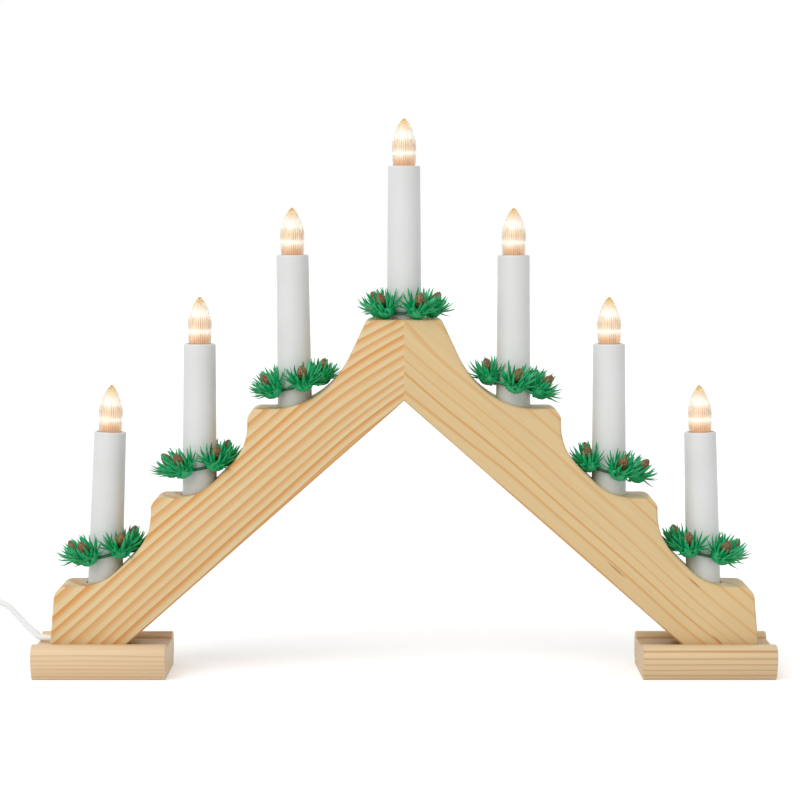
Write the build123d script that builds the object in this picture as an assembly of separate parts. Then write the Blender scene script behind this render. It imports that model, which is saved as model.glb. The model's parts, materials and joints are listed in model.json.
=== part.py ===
from build123d import *
import os
from math import atan, atan2, ceil, cos, pi, radians, sin, tan

# A wooden candle arch: two pine legs meet at an apex and stand in two moulded feet. Seven electric
# candles stand on its ledges, each with a ring of plastic fir sprigs and cones.
# Millimetres. X runs along the arch, Y goes to its back, Z is up. The origin is under the apex, on
# the floor. Station 1 is the left candle, station 4 the one at the apex, station 7 the right one.

# One value for how far every cut runs past the surface it breaks through
overrun = 1.0
# The least distance that tells two flat faces apart
hair = 0.01

# Legs: places along X are counted outwards from the apex
leg_thickness = 34.0
inner_station = 59.0
station_pitch = 52.0
stations_per_leg = 3
# Height of the lowest ledge above the foot's floor, and of each next ledge above the last
first_ledge_rise = 33.9
ledge_rise = 47.87
# How far a ledge runs on past its candle, and the leg's end past its ledge
ledge_end = 25.0
leg_end_slant = 3.0
# Distance from the outer candle in to where the leg's underside meets the floor of the foot
heel_inset = 10.8
edge_easing = 0.8

# The curve that climbs from each ledge to the next one
cove_start = 12.5
cove_radius_share = 0.785
riser_height = 8.37
last_cove_angle = 65.0
apex_block_reach = 19.9
ledge_corner_radius = 6.0
end_corner_radius = 7.0
top_corner_radius = 5.0

# Bores and grooves in the legs
socket_depth = 20.0
wire_bore_radius = 4.2
wire_bore_sides = 8
groove_width = 6.0
groove_depth = 7.0
floor_slot_overlap = 5.0
floor_slot_depth = 6.0
strip_width = 12.0
strip_thickness = 2.4
strip_clearance = 0.1
strip_top_end = 1.2

# Feet
foot_length = 72.0
foot_toe = 9.0
foot_height = 18.7
foot_bulge_height = 13.0
rail_rise = 3.2
# How far the foot stands out from the leg's faces, at its base and at its bulge
foot_base_side = 6.3
foot_bulge_side = 11.0
rail_clearance = 0.3
rail_inner_round = 1.7
rail_inner_lean = 2.1
rail_top_width = 2.2
bulge_share = 0.8
shoulder_share = 0.72

# Screws that hold each foot, from below
screw_inset = 13.0
screw_spacing = 18.0
screw_length = 24.0
screw_radius = 1.9
screw_head_radius = 3.8
screw_head_height = 2.0
screw_recess = 0.8
screw_clearance = 0.25
screw_sides = 12
pilot_clearance = 0.05

# Loose keys across the apex joint, one each side of the wires
key_length = 24.0
key_thickness = 6.0
key_width = 12.0
key_inset = 6.0
key_clearance = 0.05

# Candle sleeves: tapered tubes of narrow flats, with heights counted up from the sleeve's foot
sleeve_rise = 82.0
sleeve_sides = 16
sleeve_foot_radius = 9.5
sleeve_rim_radius = 8.6
sleeve_bore_radius = 7.0
sleeve_bore_sides = 12
sleeve_rim_round = 0.8
sleeve_clearance = 0.5
seat_gap = 0.05
web_depth = 18.5
web_thickness = 1.5
# How far each candle leans towards the middle, in degrees
candle_lean_angles = (2.4, 0.4, -0.7, 0.0, 0.0, 0.2, 1.7)

# Lampholder inside a sleeve: places are counted down from the rim
holder_sides = 8
holder_radius = 5.7
holder_wall = 0.4
holder_height = 11.0
holder_floor_hole = 2.4
contact_width = 2.4
contact_height = 0.9
tag_width = 1.2
tag_length = 4.0
contact_tag_offset = -0.9
holder_tag_offset = 2.9
tag_clearance = 0.3

# Lamps: a clear fluted cover on a screw cap
cap_sides = 10
cap_radius = 4.6
cap_height = 10.0
collar_radius = 5.6
collar_height = 1.5
collar_depth = 4.5
tip_radius = 1.8
tip_gap = 0.1
cover_sides = 12
cover_bore_sides = 8
cover_skirt_radius = 5.7
cover_rim_radius = 6.05
cover_belly_radius = 6.55
cover_belly_height = 10.5
cover_height = 25.3
cover_wall = 1.2
cover_point_wall = 2.7
# Radius of the cover above its belly, as shares of the belly's radius and of the height left
cover_point_shares = ((0.3, 0.89), (0.63, 0.62), (0.87, 0.3))
board_width = 3.4
board_thickness = 0.8
board_height = 18.0
emitter_size = 1.6
emitter_height = 14.0

# Rings of fir sprigs: each one is tilted up on the side of the apex
ring_radius = 11.2
ring_width = 1.6
ring_thickness = 1.6
ring_sides = 12
sprig_count = 5
ring_heights = (15.2, 15.0, 11.0, 3.3, 11.5, 13.3, 16.0)
ring_tilt_angles = (15.0, 12.0, 13.0, 0.0, 15.0, 14.0, 14.0)
# Angle of the sprig nearest the front, from the front towards +X
ring_turn_angles = (-32.0, -31.0, 22.0, 28.0, 0.0, 16.0, 34.0)
sprig_offset = 3.1
sprig_lift = 2.2
sprig_elevation_angle = 62.0
cup_sides = 6
cup_top_radius = 4.6
cup_foot_radius = 2.0
cup_top_height = 1.2
cup_foot_height = -4.2
needle_sides = 3
needle_root_radius = 0.55
needle_start = 2.2
low_needle_length = 9.6
mid_needle_length = 10.0
high_needle_length = 10.8
low_needle_angle = 10.0
mid_needle_angle = 43.0
high_needle_angle = 80.0
low_needle_fan_angles = (-50.0, 0.0, 50.0)
mid_needle_fan_angles = (-64.0, -34.0, 34.0, 64.0)
high_needle_fan_angles = (-48.0, 48.0)

# Cones: one stands on each cup, with the knob of its peg under the cup
cone_sides = 5
cone_length = 10.5
cone_radius = 2.9
cone_foot_radius = 1.3
cone_belly_share = 0.38
cone_shoulder_share = 0.72
cone_shoulder_radius = 2.1
knob_radius = 1.2
knob_height = 1.5

# Wires inside: seven lamps in series
wire_width = 1.3
wire_bend = 2.0
wire_depth = 4.5
wire_lane = 1.3
wire_leg_offset = 1.6

# Mains lead
cord_radius = 1.7
cord_sides = 6
# Width of the square section that stands in for the round one in the coil, with the same area
coil_cord_width = cord_radius * pi**0.5
cord_exit_lift = 3.1
gland_sides = 12
gland_radius = 2.5
gland_length = 8.0
gland_clearance = 0.1
gland_recess = 6.5
gland_wire_offset = 0.9

# Coil of the lead that the view doesn't reach
coil_centre_x = -300.0
coil_centre_y = 276.4
coil_gap = 0.6
coil_turns = 3
coil_outer_radius = 27.0
coil_spans_per_turn = 2
coil_tail = 38.0
tie_thickness = 0.8
tie_width = 5.0
tie_clearance = 0.4

# Two-pin plug
plug_width = 35.3
plug_thickness = 13.7
plug_waist_width = 24.0
plug_tail_width = 11.0
plug_tail_thickness = 10.0
plug_waist_length = 16.0
plug_length = 33.0
plug_corner = 4.0
plug_tail_corner = 2.5
relief_radius = 4.0
relief_tail_radius = 2.9
relief_sides = 8
relief_length = 20.0
pin_radius = 2.0
pin_length = 19.0
pin_sides = 12
pin_spacing = 18.6
pin_tip_round = 1.0

# Derived sizes
half_thickness = leg_thickness / 2
outer_station = inner_station + (stations_per_leg - 1) * station_pitch
leg_reach = outer_station + ledge_end + leg_end_slant
slope = atan(stations_per_leg * ledge_rise / outer_station)
foot_floor_height = foot_height - rail_rise
first_ledge_height = foot_floor_height + first_ledge_rise
apex_underside_height = foot_floor_height + (outer_station - heel_inset) * tan(slope)
sleeve_length = socket_depth + sleeve_rise
web_top = sleeve_length - web_depth
socket_radius = sleeve_foot_radius + sleeve_clearance
cove_width = cove_start + station_pitch - ledge_end
cove_height = ledge_rise - riser_height
cove_radius = cove_radius_share * min(cove_width, cove_height)
foot_centre = leg_reach + foot_toe - foot_length / 2
screw_reach = leg_reach - screw_inset
cord_exit_height = foot_floor_height + cord_exit_lift
cap_bottom = sleeve_length - collar_depth - collar_height - cap_height
tip_bottom = web_top + contact_height + tip_gap
cord_pitch = 2 * cord_radius + coil_gap
# The turn at which the coil's spiral reverses, in the middle of its climb
coil_half = coil_turns + 0.25
coil_inner_radius = coil_outer_radius - coil_half * cord_pitch
station_numbers = range(1, 2 * stations_per_leg + 2)


def steps_from_apex(station):
    return abs(station - stations_per_leg - 1)


def side_of(station):
    return 1 if station > stations_per_leg + 1 else -1


def station_reach(station):
    steps = steps_from_apex(station)
    return 0 if steps == 0 else inner_station + (steps - 1) * station_pitch


def station_x(station):
    return side_of(station) * station_reach(station)


def ledge_height(steps):
    return first_ledge_height + (stations_per_leg - steps) * ledge_rise


def underside(reach):
    return apex_underside_height - reach * tan(slope)


def underside_reach(height):
    """How far out the leg's underside is at a height."""
    return (apex_underside_height - height) / tan(slope)


strip_foot_end = underside_reach(foot_height)
floor_slot_end = outer_station + floor_slot_overlap
groove_foot_end = underside_reach(foot_floor_height + floor_slot_depth - groove_depth / cos(slope)) + overrun


def candle_lean(station):
    """Turn about Y that leans a candle towards the middle, in degrees."""
    return -side_of(station) * candle_lean_angles[station - 1]


def candle_place(station):
    """Where a candle's foot stands and how it leans within its socket's clearance."""
    lean = candle_lean(station)
    slant = sin(radians(lean))
    lift = sleeve_foot_radius * abs(slant) + seat_gap
    height = ledge_height(steps_from_apex(station)) - socket_depth + lift
    return Pos(station_x(station) - slant * socket_depth / 2, 0, height) * Rot(0, lean, 0)


def ring_place(station):
    """Where a sprig ring hangs round its candle."""
    tilt = side_of(station) * ring_tilt_angles[station - 1]
    height = socket_depth + ring_heights[station - 1]
    turn = ring_turn_angles[station - 1]
    return candle_place(station) * Pos(0, 0, height) * Rot(0, tilt, 0) * Rot(0, 0, turn)


def save(shape, name):
    shape.label = name
    export_step(shape, f"parts/{name}.step")


def group(solids):
    return Compound(children=list(solids))


def faceted(rings):
    """A solid with flat faces through rings of points, where a ring of one point is a tip."""
    outlines = [ring for ring in (rings[0], rings[-1]) if len(ring) > 1]
    for low, high in zip(rings, rings[1:]):
        for index in range(max(len(low), len(high))):
            corners = [
                low[index % len(low)],
                low[(index + 1) % len(low)],
                high[(index + 1) % len(high)],
                high[index % len(high)],
            ]
            outlines.append(list(dict.fromkeys(corners)))
    return Solid(Shell([Face(Wire.make_polygon(outline)) for outline in outlines]))


def polygon_points(radius, sides, height):
    if radius == 0:
        return [(0, 0, height)]
    angles = [2 * pi * index / sides for index in range(sides)]
    return [(radius * cos(angle), radius * sin(angle), height) for angle in angles]


def many_sided(profile, sides):
    """An upright solid like a turned one but with flat sides, from pairs of radius and height."""
    return faceted([polygon_points(radius, sides, height) for radius, height in profile])


def prism(radius, sides, low, high):
    return many_sided([(radius, low), (radius, high)], sides)


def upright_slab(points, thickness):
    """A plate whose outline lies in X and Z, centred on Y."""
    face = make_face(Plane.XZ * Curve([Polyline(*points, close=True)]))
    return extrude(face, amount=thickness / 2, both=True)


def round_corner(before, corner, after, radius):
    """The arc that rounds a corner between two straight runs: its start, middle and end."""
    corner = Vector(*corner)
    back = (Vector(*before) - corner).normalized()
    ahead = (Vector(*after) - corner).normalized()
    half = radians(back.get_angle(ahead)) / 2
    middle_way = (back + ahead).normalized()
    start = corner + back * (radius / tan(half))
    end = corner + ahead * (radius / tan(half))
    middle = corner + middle_way * (radius / sin(half) - radius)
    return start, middle, end


# Legs


def cove_edges(start_reach, height):
    """The curve from a ledge up to the next riser, and the point where it ends."""
    run = cove_width - cove_radius
    climb = cove_height - cove_radius
    turn = atan2(climb, run)
    first_centre_height = height + cove_radius

    def on_first(angle):
        return (start_reach - cove_radius * sin(angle), first_centre_height - cove_radius * cos(angle))

    flat_start = on_first(turn)
    flat_end = (flat_start[0] - run, flat_start[1] + climb)
    centre = (flat_end[0] + cove_radius * sin(turn), flat_end[1] + cove_radius * cos(turn))
    half_way = (turn + pi / 2) / 2
    middle = (centre[0] - cove_radius * sin(half_way), centre[1] - cove_radius * cos(half_way))
    end = (centre[0] - cove_radius, centre[1])
    edges = [
        ThreePointArc((start_reach, height), on_first(turn / 2), flat_start),
        Line(flat_start, flat_end),
        ThreePointArc(flat_end, middle, end),
    ]
    return edges, end


def last_cove_edges(start_reach, height, top):
    """The wider curve from the inner ledge up to the block at the apex."""
    turn = radians(last_cove_angle)
    run = start_reach - apex_block_reach - (top - height) / tan(turn)
    radius = run / (sin(turn) - (1 - cos(turn)) / tan(turn))
    centre = (start_reach, height + radius)

    def on_arc(angle):
        return (centre[0] - radius * sin(angle), centre[1] - radius * cos(angle))

    end = on_arc(turn)
    corner = (apex_block_reach, top)
    rounding = round_corner(end, corner, (0, top), top_corner_radius)
    return [
        ThreePointArc((start_reach, height), on_arc(turn / 2), end),
        Line(end, rounding[0]),
        ThreePointArc(*rounding),
        Line(rounding[2], (0, top)),
    ]


def leg_outline():
    """The stepped outline of a leg, as reach from the apex and height."""
    floor_reach = outer_station - heel_inset
    outer_foot = (leg_reach, foot_floor_height)
    height = ledge_height(stations_per_leg)
    outer_corner = (leg_reach - leg_end_slant, height)
    start_reach = outer_station + cove_start
    rounding = round_corner(outer_foot, outer_corner, (start_reach, height), end_corner_radius)
    edges = [
        Line((0, apex_underside_height), (floor_reach, foot_floor_height)),
        Line((floor_reach, foot_floor_height), outer_foot),
        Line(outer_foot, rounding[0]),
        ThreePointArc(*rounding),
    ]
    ledge_from = rounding[2]
    for steps in range(stations_per_leg, 1, -1):
        edges.append(Line(ledge_from, (start_reach, height)))
        cove, riser_foot = cove_edges(start_reach, height)
        height = ledge_height(steps - 1)
        start_reach = start_reach - station_pitch
        corner = (riser_foot[0], height)
        rounding = round_corner(riser_foot, corner, (start_reach, height), ledge_corner_radius)
        edges += cove + [Line(riser_foot, rounding[0]), ThreePointArc(*rounding)]
        ledge_from = rounding[2]
    edges.append(Line(ledge_from, (start_reach, height)))
    top = ledge_height(0)
    edges += last_cove_edges(start_reach, height, top)
    edges.append(Line((0, top), (0, apex_underside_height)))
    return edges


def leg_blank():
    blank = extrude(make_face(Plane.XZ * Curve(leg_outline())), amount=half_thickness, both=True)
    shown = [
        edge
        for edge in blank.edges()
        if abs(abs(edge.center().Y) - half_thickness) < hair
        and edge.center().X > hair
        and edge.center().Z > foot_floor_height + hair
    ]
    return chamfer(shown, edge_easing)


def candle_bore(station):
    """The round socket of a candle, cut up through the cove beside it."""
    reach = station_reach(station)
    floor = ledge_height(steps_from_apex(station)) - socket_depth
    low = min(groove_height(reach), floor - wire_bore_radius)
    low = max(low, foot_floor_height + floor_slot_depth / 2)
    rise = socket_depth + ledge_rise
    socket = Cylinder(socket_radius, rise, align=(Align.CENTER, Align.CENTER, Align.MIN))
    passage = prism(wire_bore_radius, wire_bore_sides, low, floor + overrun)
    return Pos(reach, 0, floor) * socket + Pos(reach, 0, 0) * passage


def groove_height(reach):
    """Height of the wires' centre line in the groove along the underside."""
    return underside(reach) + wire_depth / cos(slope)


def sloping_cut(depth, width, low_end):
    points = [
        (-overrun, underside(-overrun) - overrun),
        (-overrun, underside(-overrun) + depth / cos(slope)),
        (low_end, underside(low_end) + depth / cos(slope)),
        (low_end, underside(low_end) - overrun),
    ]
    return upright_slab(points, width)


def floor_slot():
    """The slot in the leg's foot that joins the groove to the outer candle's bore."""
    low = foot_floor_height - overrun
    high = foot_floor_height + floor_slot_depth
    points = [(strip_foot_end, low), (floor_slot_end, low), (floor_slot_end, high), (strip_foot_end, high)]
    return upright_slab(points, groove_width)


def screw_spots():
    return [(screw_reach, side * screw_spacing / 2) for side in (-1, 1)]


def apex_keys(clearance):
    """The keys, or with a clearance the slots that they sit in."""
    grown = 2 * clearance
    key = Box(key_length + grown, key_thickness + grown, key_width + grown)
    across = half_thickness - key_inset
    height = (apex_underside_height + ledge_height(0) - socket_depth) / 2
    return [Pos(0, side * across, height) * key for side in (-1, 1)]


def right_leg():
    leg = leg_blank()
    cuts = [candle_bore(station) for station in station_numbers if station > stations_per_leg]
    cuts += [
        sloping_cut(groove_depth, groove_width, groove_foot_end),
        sloping_cut(strip_thickness + strip_clearance, strip_width, floor_slot_end),
        floor_slot(),
    ]
    pilot = prism(screw_radius + pilot_clearance, screw_sides, 0, screw_recess + screw_length + overrun)
    cuts += [Pos(reach, across, 0) * pilot for reach, across in screw_spots()]
    cuts += apex_keys(key_clearance)
    for cut in cuts:
        leg = leg - cut
    return leg.solids().sort_by(SortBy.VOLUME)[-1]


def cord_hole():
    """The hole that the lead comes out of, in the end of the left leg."""
    length = leg_reach - floor_slot_end + 2 * overrun
    hole = Cylinder(gland_radius + gland_clearance, length, align=(Align.CENTER, Align.CENTER, Align.MIN))
    return Pos(-floor_slot_end + overrun, 0, cord_exit_height) * Rot(0, -90, 0) * hole


def cover_strip():
    """The thin strip that closes the groove, on the right leg."""
    low_gap = strip_thickness / cos(slope)
    points = [
        (strip_top_end, underside(strip_top_end)),
        (strip_top_end, underside(strip_top_end) + low_gap),
        (strip_foot_end, underside(strip_foot_end) + low_gap),
        (strip_foot_end, underside(strip_foot_end)),
    ]
    return upright_slab(points, strip_width - 2 * strip_clearance)


# Feet


def foot_section():
    """Half of the foot's moulded section, front to middle, as depth and height."""
    base = half_thickness + foot_base_side
    bulge = half_thickness + foot_bulge_side
    inner = half_thickness + rail_clearance
    top_inner = inner + rail_inner_lean
    top_outer = top_inner + rail_top_width
    low_middle = (base + bulge_share * (bulge - base), foot_bulge_height / 2)
    shoulder_height = foot_bulge_height + shoulder_share * (foot_height - foot_bulge_height)
    high_middle = (top_outer + shoulder_share * (bulge - top_outer), shoulder_height)
    round_start = foot_height - rail_inner_round
    return [
        Line((0, 0), (base, 0)),
        ThreePointArc((base, 0), low_middle, (bulge, foot_bulge_height)),
        ThreePointArc((bulge, foot_bulge_height), high_middle, (top_outer, foot_height)),
        Line((top_outer, foot_height), (top_inner, foot_height)),
        Line((top_inner, foot_height), (inner, round_start)),
        Line((inner, round_start), (inner, foot_floor_height)),
        Line((inner, foot_floor_height), (0, foot_floor_height)),
        Line((0, foot_floor_height), (0, 0)),
    ]


def foot_screw(clearance):
    """A pan-head screw, or with a clearance the hole that it goes through."""
    top = screw_recess + screw_head_height + clearance
    low = screw_recess if clearance == 0 else -overrun
    head = prism(screw_head_radius + clearance, screw_sides, low, top)
    shank_end = screw_recess + screw_length
    profile = [
        (screw_radius + clearance, screw_recess),
        (screw_radius + clearance, shank_end - screw_radius),
        (0, shank_end),
    ]
    return head + many_sided(profile, screw_sides)


def right_foot():
    half = extrude(make_face(Plane.YZ * Curve(foot_section())), amount=foot_length / 2, both=True)
    foot = Pos(foot_centre, 0, 0) * (half + mirror(half, Plane.XZ))
    for reach, across in screw_spots():
        foot = foot - Pos(reach, across, 0) * foot_screw(screw_clearance)
    return foot.solids().sort_by(SortBy.VOLUME)[-1]


def foot_screws():
    screw = foot_screw(0)
    return [Pos(side * reach, across, 0) * screw for side in (-1, 1) for reach, across in screw_spots()]


# Candles: each piece is drawn with its candle upright and its foot at the origin


def sleeve():
    round_start = (sleeve_rim_radius, sleeve_length - sleeve_rim_round)
    round_end = (sleeve_rim_radius - sleeve_rim_round, sleeve_length)
    shell = many_sided([(sleeve_foot_radius, 0), round_start, round_end], sleeve_sides)
    shell = shell - prism(sleeve_bore_radius, sleeve_bore_sides, -overrun, web_top - web_thickness)
    shell = shell - prism(sleeve_bore_radius, sleeve_bore_sides, web_top, sleeve_length + overrun)
    for offset in (contact_tag_offset, holder_tag_offset):
        slot = Box(tag_width + 2 * tag_clearance, tag_width + 2 * tag_clearance, web_depth)
        shell = shell - Pos(offset, -wire_lane, web_top) * slot
    return shell.solids().sort_by(SortBy.VOLUME)[-1]


def tag(offset):
    """A solder tag that reaches down through the web of the sleeve."""
    length = web_thickness + tag_length
    stem = Box(tag_width, tag_width, length, align=(Align.CENTER, Align.CENTER, Align.MAX))
    return Pos(offset, -wire_lane, web_top) * stem


def lampholder():
    """Screw shell and centre contact of one lampholder."""
    top = web_top + holder_height
    shell = prism(holder_radius, holder_sides, web_top, top)
    shell = shell - prism(holder_radius - holder_wall, holder_sides, web_top + holder_wall, top + overrun)
    shell = shell - prism(holder_floor_hole, holder_sides, web_top - overrun, top)
    pad = Box(contact_width, contact_width, contact_height, align=(Align.CENTER, Align.CENTER, Align.MIN))
    contact = Pos(0, 0, web_top) * pad + tag(contact_tag_offset)
    return [shell + tag(holder_tag_offset), contact]


def lamp_cap():
    """Screw cap with its collar, and the board with the light emitter that stands on it."""
    collar_low = cap_bottom + cap_height
    collar_top = collar_low + collar_height
    profile = [
        (cap_radius, cap_bottom),
        (cap_radius, collar_low),
        (collar_radius, collar_low),
        (collar_radius, collar_top),
    ]
    board = Box(board_width, board_thickness, board_height, align=(Align.CENTER, Align.CENTER, Align.MIN))
    emitter = Box(emitter_size, board_thickness + emitter_size, emitter_size)
    light = Pos(0, 0, collar_top) * (board + Pos(0, 0, emitter_height) * emitter)
    return [many_sided(profile, cap_sides), light]


def lamp_tip():
    """The solder contact under the cap."""
    height = cap_bottom - tip_bottom
    return Pos(0, 0, tip_bottom) * Cylinder(tip_radius, height, align=(Align.CENTER, Align.CENTER, Align.MIN))


def flame_profile(skirt_radius, rim_radius, belly_radius, top):
    """The cover's outline from its skirt up to its point, as pairs of radius and height."""
    belly = sleeve_length + cover_belly_height
    profile = [
        (skirt_radius, sleeve_length - collar_depth),
        (rim_radius, sleeve_length),
        (belly_radius, belly),
    ]
    profile += [
        (width_share * belly_radius, belly + height_share * (top - belly))
        for height_share, width_share in cover_point_shares
    ]
    return profile + [(0, top)]


def lamp_cover():
    """The clear flame-shaped cover, hollow up to its thick point."""
    top = sleeve_length + cover_height
    outside = flame_profile(cover_skirt_radius, cover_rim_radius, cover_belly_radius, top)
    inside = flame_profile(
        cover_skirt_radius - cover_wall,
        cover_rim_radius - cover_wall,
        cover_belly_radius - cover_wall,
        top - cover_point_wall,
    )
    return many_sided(outside, cover_sides) - many_sided(inside, cover_bore_sides)


# Sprig rings: drawn round a candle's axis with the first sprig at the front


def fan_direction(elevation, spread):
    """Direction of a needle: out along -Y, up, and spread to the side, all in degrees."""
    up = radians(elevation)
    side = radians(spread)
    return Vector(sin(side), -cos(side) * cos(up), cos(side) * sin(up))


def needle(elevation, spread, length):
    direction = fan_direction(elevation, spread)
    return Plane((0, 0, 0), z_dir=direction) * many_sided(
        [(needle_root_radius, needle_start), (0, length)], needle_sides
    )


def sprig_plane():
    """The plane across a cup: its origin is the sprig's heart and its normal is the cone's axis."""
    return Plane((0, 0, 0), x_dir=(1, 0, 0), z_dir=fan_direction(sprig_elevation_angle, 0))


def sprig_place(index):
    heart = (0, -ring_radius - sprig_offset, sprig_lift)
    return Rot(0, 0, 360 * index / sprig_count) * Pos(*heart)


def sprig():
    """One moulding: a cup with its needles."""
    cup = many_sided([(cup_foot_radius, cup_foot_height), (cup_top_radius, cup_top_height)], cup_sides)
    pieces = [needle(low_needle_angle, spread, low_needle_length) for spread in low_needle_fan_angles]
    pieces += [needle(mid_needle_angle, spread, mid_needle_length) for spread in mid_needle_fan_angles]
    pieces += [needle(high_needle_angle, spread, high_needle_length) for spread in high_needle_fan_angles]
    return (sprig_plane() * cup).fuse(*pieces)


def hoop():
    """The thin hoop that carries the sprigs round their candle."""
    half = ring_thickness / 2
    disc = prism(ring_radius + ring_width / 2, ring_sides, -half, half)
    return disc - prism(ring_radius - ring_width / 2, ring_sides, -half - overrun, half + overrun)


def ring_sprigs():
    """The sprigs of one ring, each seated over the hoop."""
    moulding = sprig()
    carrier = hoop()
    seated = [sprig_place(index) * moulding - carrier for index in range(sprig_count)]
    return [piece.solids().sort_by(SortBy.VOLUME)[-1] for piece in seated]


def cone():
    """A cone on its cup and the knob under the cup, along the cup's axis."""
    foot = cup_top_height
    profile = [
        (cone_foot_radius, foot),
        (cone_radius, foot + cone_belly_share * cone_length),
        (cone_shoulder_radius, foot + cone_shoulder_share * cone_length),
        (0, foot + cone_length),
    ]
    knob = prism(knob_radius, cone_sides, cup_foot_height - knob_height, cup_foot_height)
    return [sprig_plane() * many_sided(profile, cone_sides), sprig_plane() * knob]


def ring_cones():
    pieces = cone()
    return [sprig_place(index) * piece for index in range(sprig_count) for piece in pieces]


# Wires


def tag_end(station, offset):
    """The lower end of a solder tag, where a wire starts."""
    low = web_top - web_thickness - tag_length - seat_gap
    place = candle_place(station) * Pos(offset, -wire_lane, low)
    return Vector(*place.position)


def leg_foot(station, side):
    """The corner where a wire leaves a candle for the groove, on one side of the candle."""
    across = station_x(station) + side * wire_leg_offset
    height = max(groove_height(abs(across)), cord_exit_height)
    return Vector(across, -wire_lane, height)


def slot_end(side):
    """The corner where the slot in a leg's foot meets the sloping groove."""
    reach = underside_reach(cord_exit_height - wire_depth / cos(slope))
    return Vector(side * reach, -wire_lane, cord_exit_height)


def run_wire(points):
    path = FilletPolyline(*points, radius=wire_bend)
    section = Plane(path @ 0, x_dir=(0, 1, 0), z_dir=path % 0) * Rectangle(wire_width, wire_width)
    return sweep(section, path=path)


def link_wire(station):
    """The wire from one lampholder's shell to the next one's contact."""
    points = [tag_end(station, holder_tag_offset), leg_foot(station, 1)]
    if station == 1:
        points.append(slot_end(-1))
    if station + 1 == 2 * stations_per_leg + 1:
        points.append(slot_end(1))
    points += [leg_foot(station + 1, -1), tag_end(station + 1, contact_tag_offset)]
    return run_wire(points)


def gland_back():
    return -leg_reach + gland_recess + gland_length


def other_lane(point):
    return Vector(point.X, -point.Y, point.Z)


def feed_wire():
    start = Vector(gland_back(), -gland_wire_offset, cord_exit_height)
    return run_wire([start, leg_foot(1, -1), tag_end(1, contact_tag_offset)])


def return_wire():
    """The long wire back from the last lampholder to the lead."""
    last = 2 * stations_per_leg + 1
    apex = Vector(0, wire_lane, groove_height(0))
    start = Vector(gland_back(), gland_wire_offset, cord_exit_height)
    points = [
        start,
        other_lane(slot_end(-1)),
        apex,
        other_lane(slot_end(1)),
        other_lane(leg_foot(last, 1)),
        tag_end(last, holder_tag_offset),
    ]
    return run_wire(points)


def series_wires():
    links = [link_wire(station) for station in station_numbers if station <= 2 * stations_per_leg]
    return [feed_wire(), *links, return_wire()]


# Mains lead


def cord_gland():
    """The strain relief in the leg's end, drilled for the two cores."""
    gland = prism(gland_radius, gland_sides, 0, gland_length)
    return Pos(-leg_reach + gland_recess, 0, cord_exit_height) * Rot(0, 90, 0) * gland


# The lead's route to its coil: out of the leg's end, back and down to the floor, then along it
cord_route = [
    (-184.5, 0.0, 18.6),
    (-196.6, 0.5, 18.6),
    (-204.0, 11.0, 18.2),
    (-206.5, 25.0, 16.8),
    (-210.0, 45.0, 13.0),
    (-214.0, 68.0, 8.5),
    (-219.0, 96.0, 3.6),
    (-226.0, 121.0, 1.7),
    (-236.0, 147.0, 1.7),
    (-246.5, 178.0, 1.7),
    (-257.4, 213.0, 1.7),
    (-265.6, 236.5, 2.1),
    (-273.0, 254.5, 2.9),
    (-273.0, 273.0, 2.9),
]


def arc_radii(points):
    """The widest arc that each corner of a route leaves room for."""
    radii = []
    for before, corner, after in zip(points, points[1:], points[2:]):
        first = Vector(*corner) - Vector(*before)
        second = Vector(*after) - Vector(*corner)
        turn = radians(first.get_angle(second))
        radii.append(0.45 * min(first.length, second.length) / tan(turn / 2))
    return radii


def swept_cord(path, outline, name):
    section = Plane(path @ 0, x_dir=(0, 0, 1), z_dir=path % 0) * outline
    tube = sweep(section, path=path)
    print(name, "length", round(path.length, 1))
    print(name, "volume as a share of section times length", tube.volume / (section.area * path.length))
    return tube


def free_cord():
    """The stretch of the lead from the gland to the coil."""
    radii = arc_radii(cord_route)
    print("cord arc radii", [round(radius, 1) for radius in radii])
    outline = RegularPolygon(cord_radius, cord_sides)
    return swept_cord(FilletPolyline(*cord_route, radius=radii), outline, "cord")


def coil_base():
    return cord_radius + tie_thickness + tie_clearance


def coil_point(turns):
    """A point of the coil's centre line: it winds in, turns back while it climbs, and winds out."""
    radius = coil_outer_radius - cord_pitch * (coil_half - abs(coil_half - turns))
    rise = min(max(2 * (turns - coil_turns), 0), 1)
    height = coil_base() + cord_pitch * (1 - cos(pi * rise)) / 2
    angle = 2 * pi * turns
    return Vector(coil_centre_x + radius * cos(angle), coil_centre_y + radius * sin(angle), height)


def coil_heading(turns):
    step = 1e-4
    return (coil_point(turns + step) - coil_point(turns - step)).normalized()


def biarc(start, start_heading, end, end_heading):
    """Two arcs that leave and arrive along given headings, as points start, knee, end."""
    span = end - start
    headings = start_heading + end_heading
    spread = 2 * (1 - start_heading.dot(end_heading))
    lean = span.dot(headings)
    reach = (-lean + (lean * lean + spread * span.dot(span)) ** 0.5) / spread
    knee = (start + start_heading * reach + end - end_heading * reach) / 2
    return [TangentArc(start, knee, tangent=start_heading), arc_into(knee, end, end_heading)]


def arc_into(start, end, end_heading):
    """An arc that arrives along a heading: the reverse of one that leaves against it."""
    back = TangentArc(end, start, tangent=end_heading * -1)
    return ThreePointArc(start, back @ 0.5, end)


def coil_path():
    count = ceil(2 * coil_half * coil_spans_per_turn)
    marks = [2 * coil_half * index / count for index in range(count + 1)]
    points = [coil_point(mark) for mark in marks]
    headings = [coil_heading(mark) for mark in marks]
    headings[0] = Vector(0, 1, 0)
    headings[-1] = Vector(0, -1, 0)
    edges = [Line(points[0] - headings[0] * (2 * cord_radius), points[0])]
    for index in range(count):
        edges += biarc(points[index], headings[index], points[index + 1], headings[index + 1])
    edges.append(Line(points[-1], points[-1] + headings[-1] * coil_tail))
    return Wire(edges)


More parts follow.
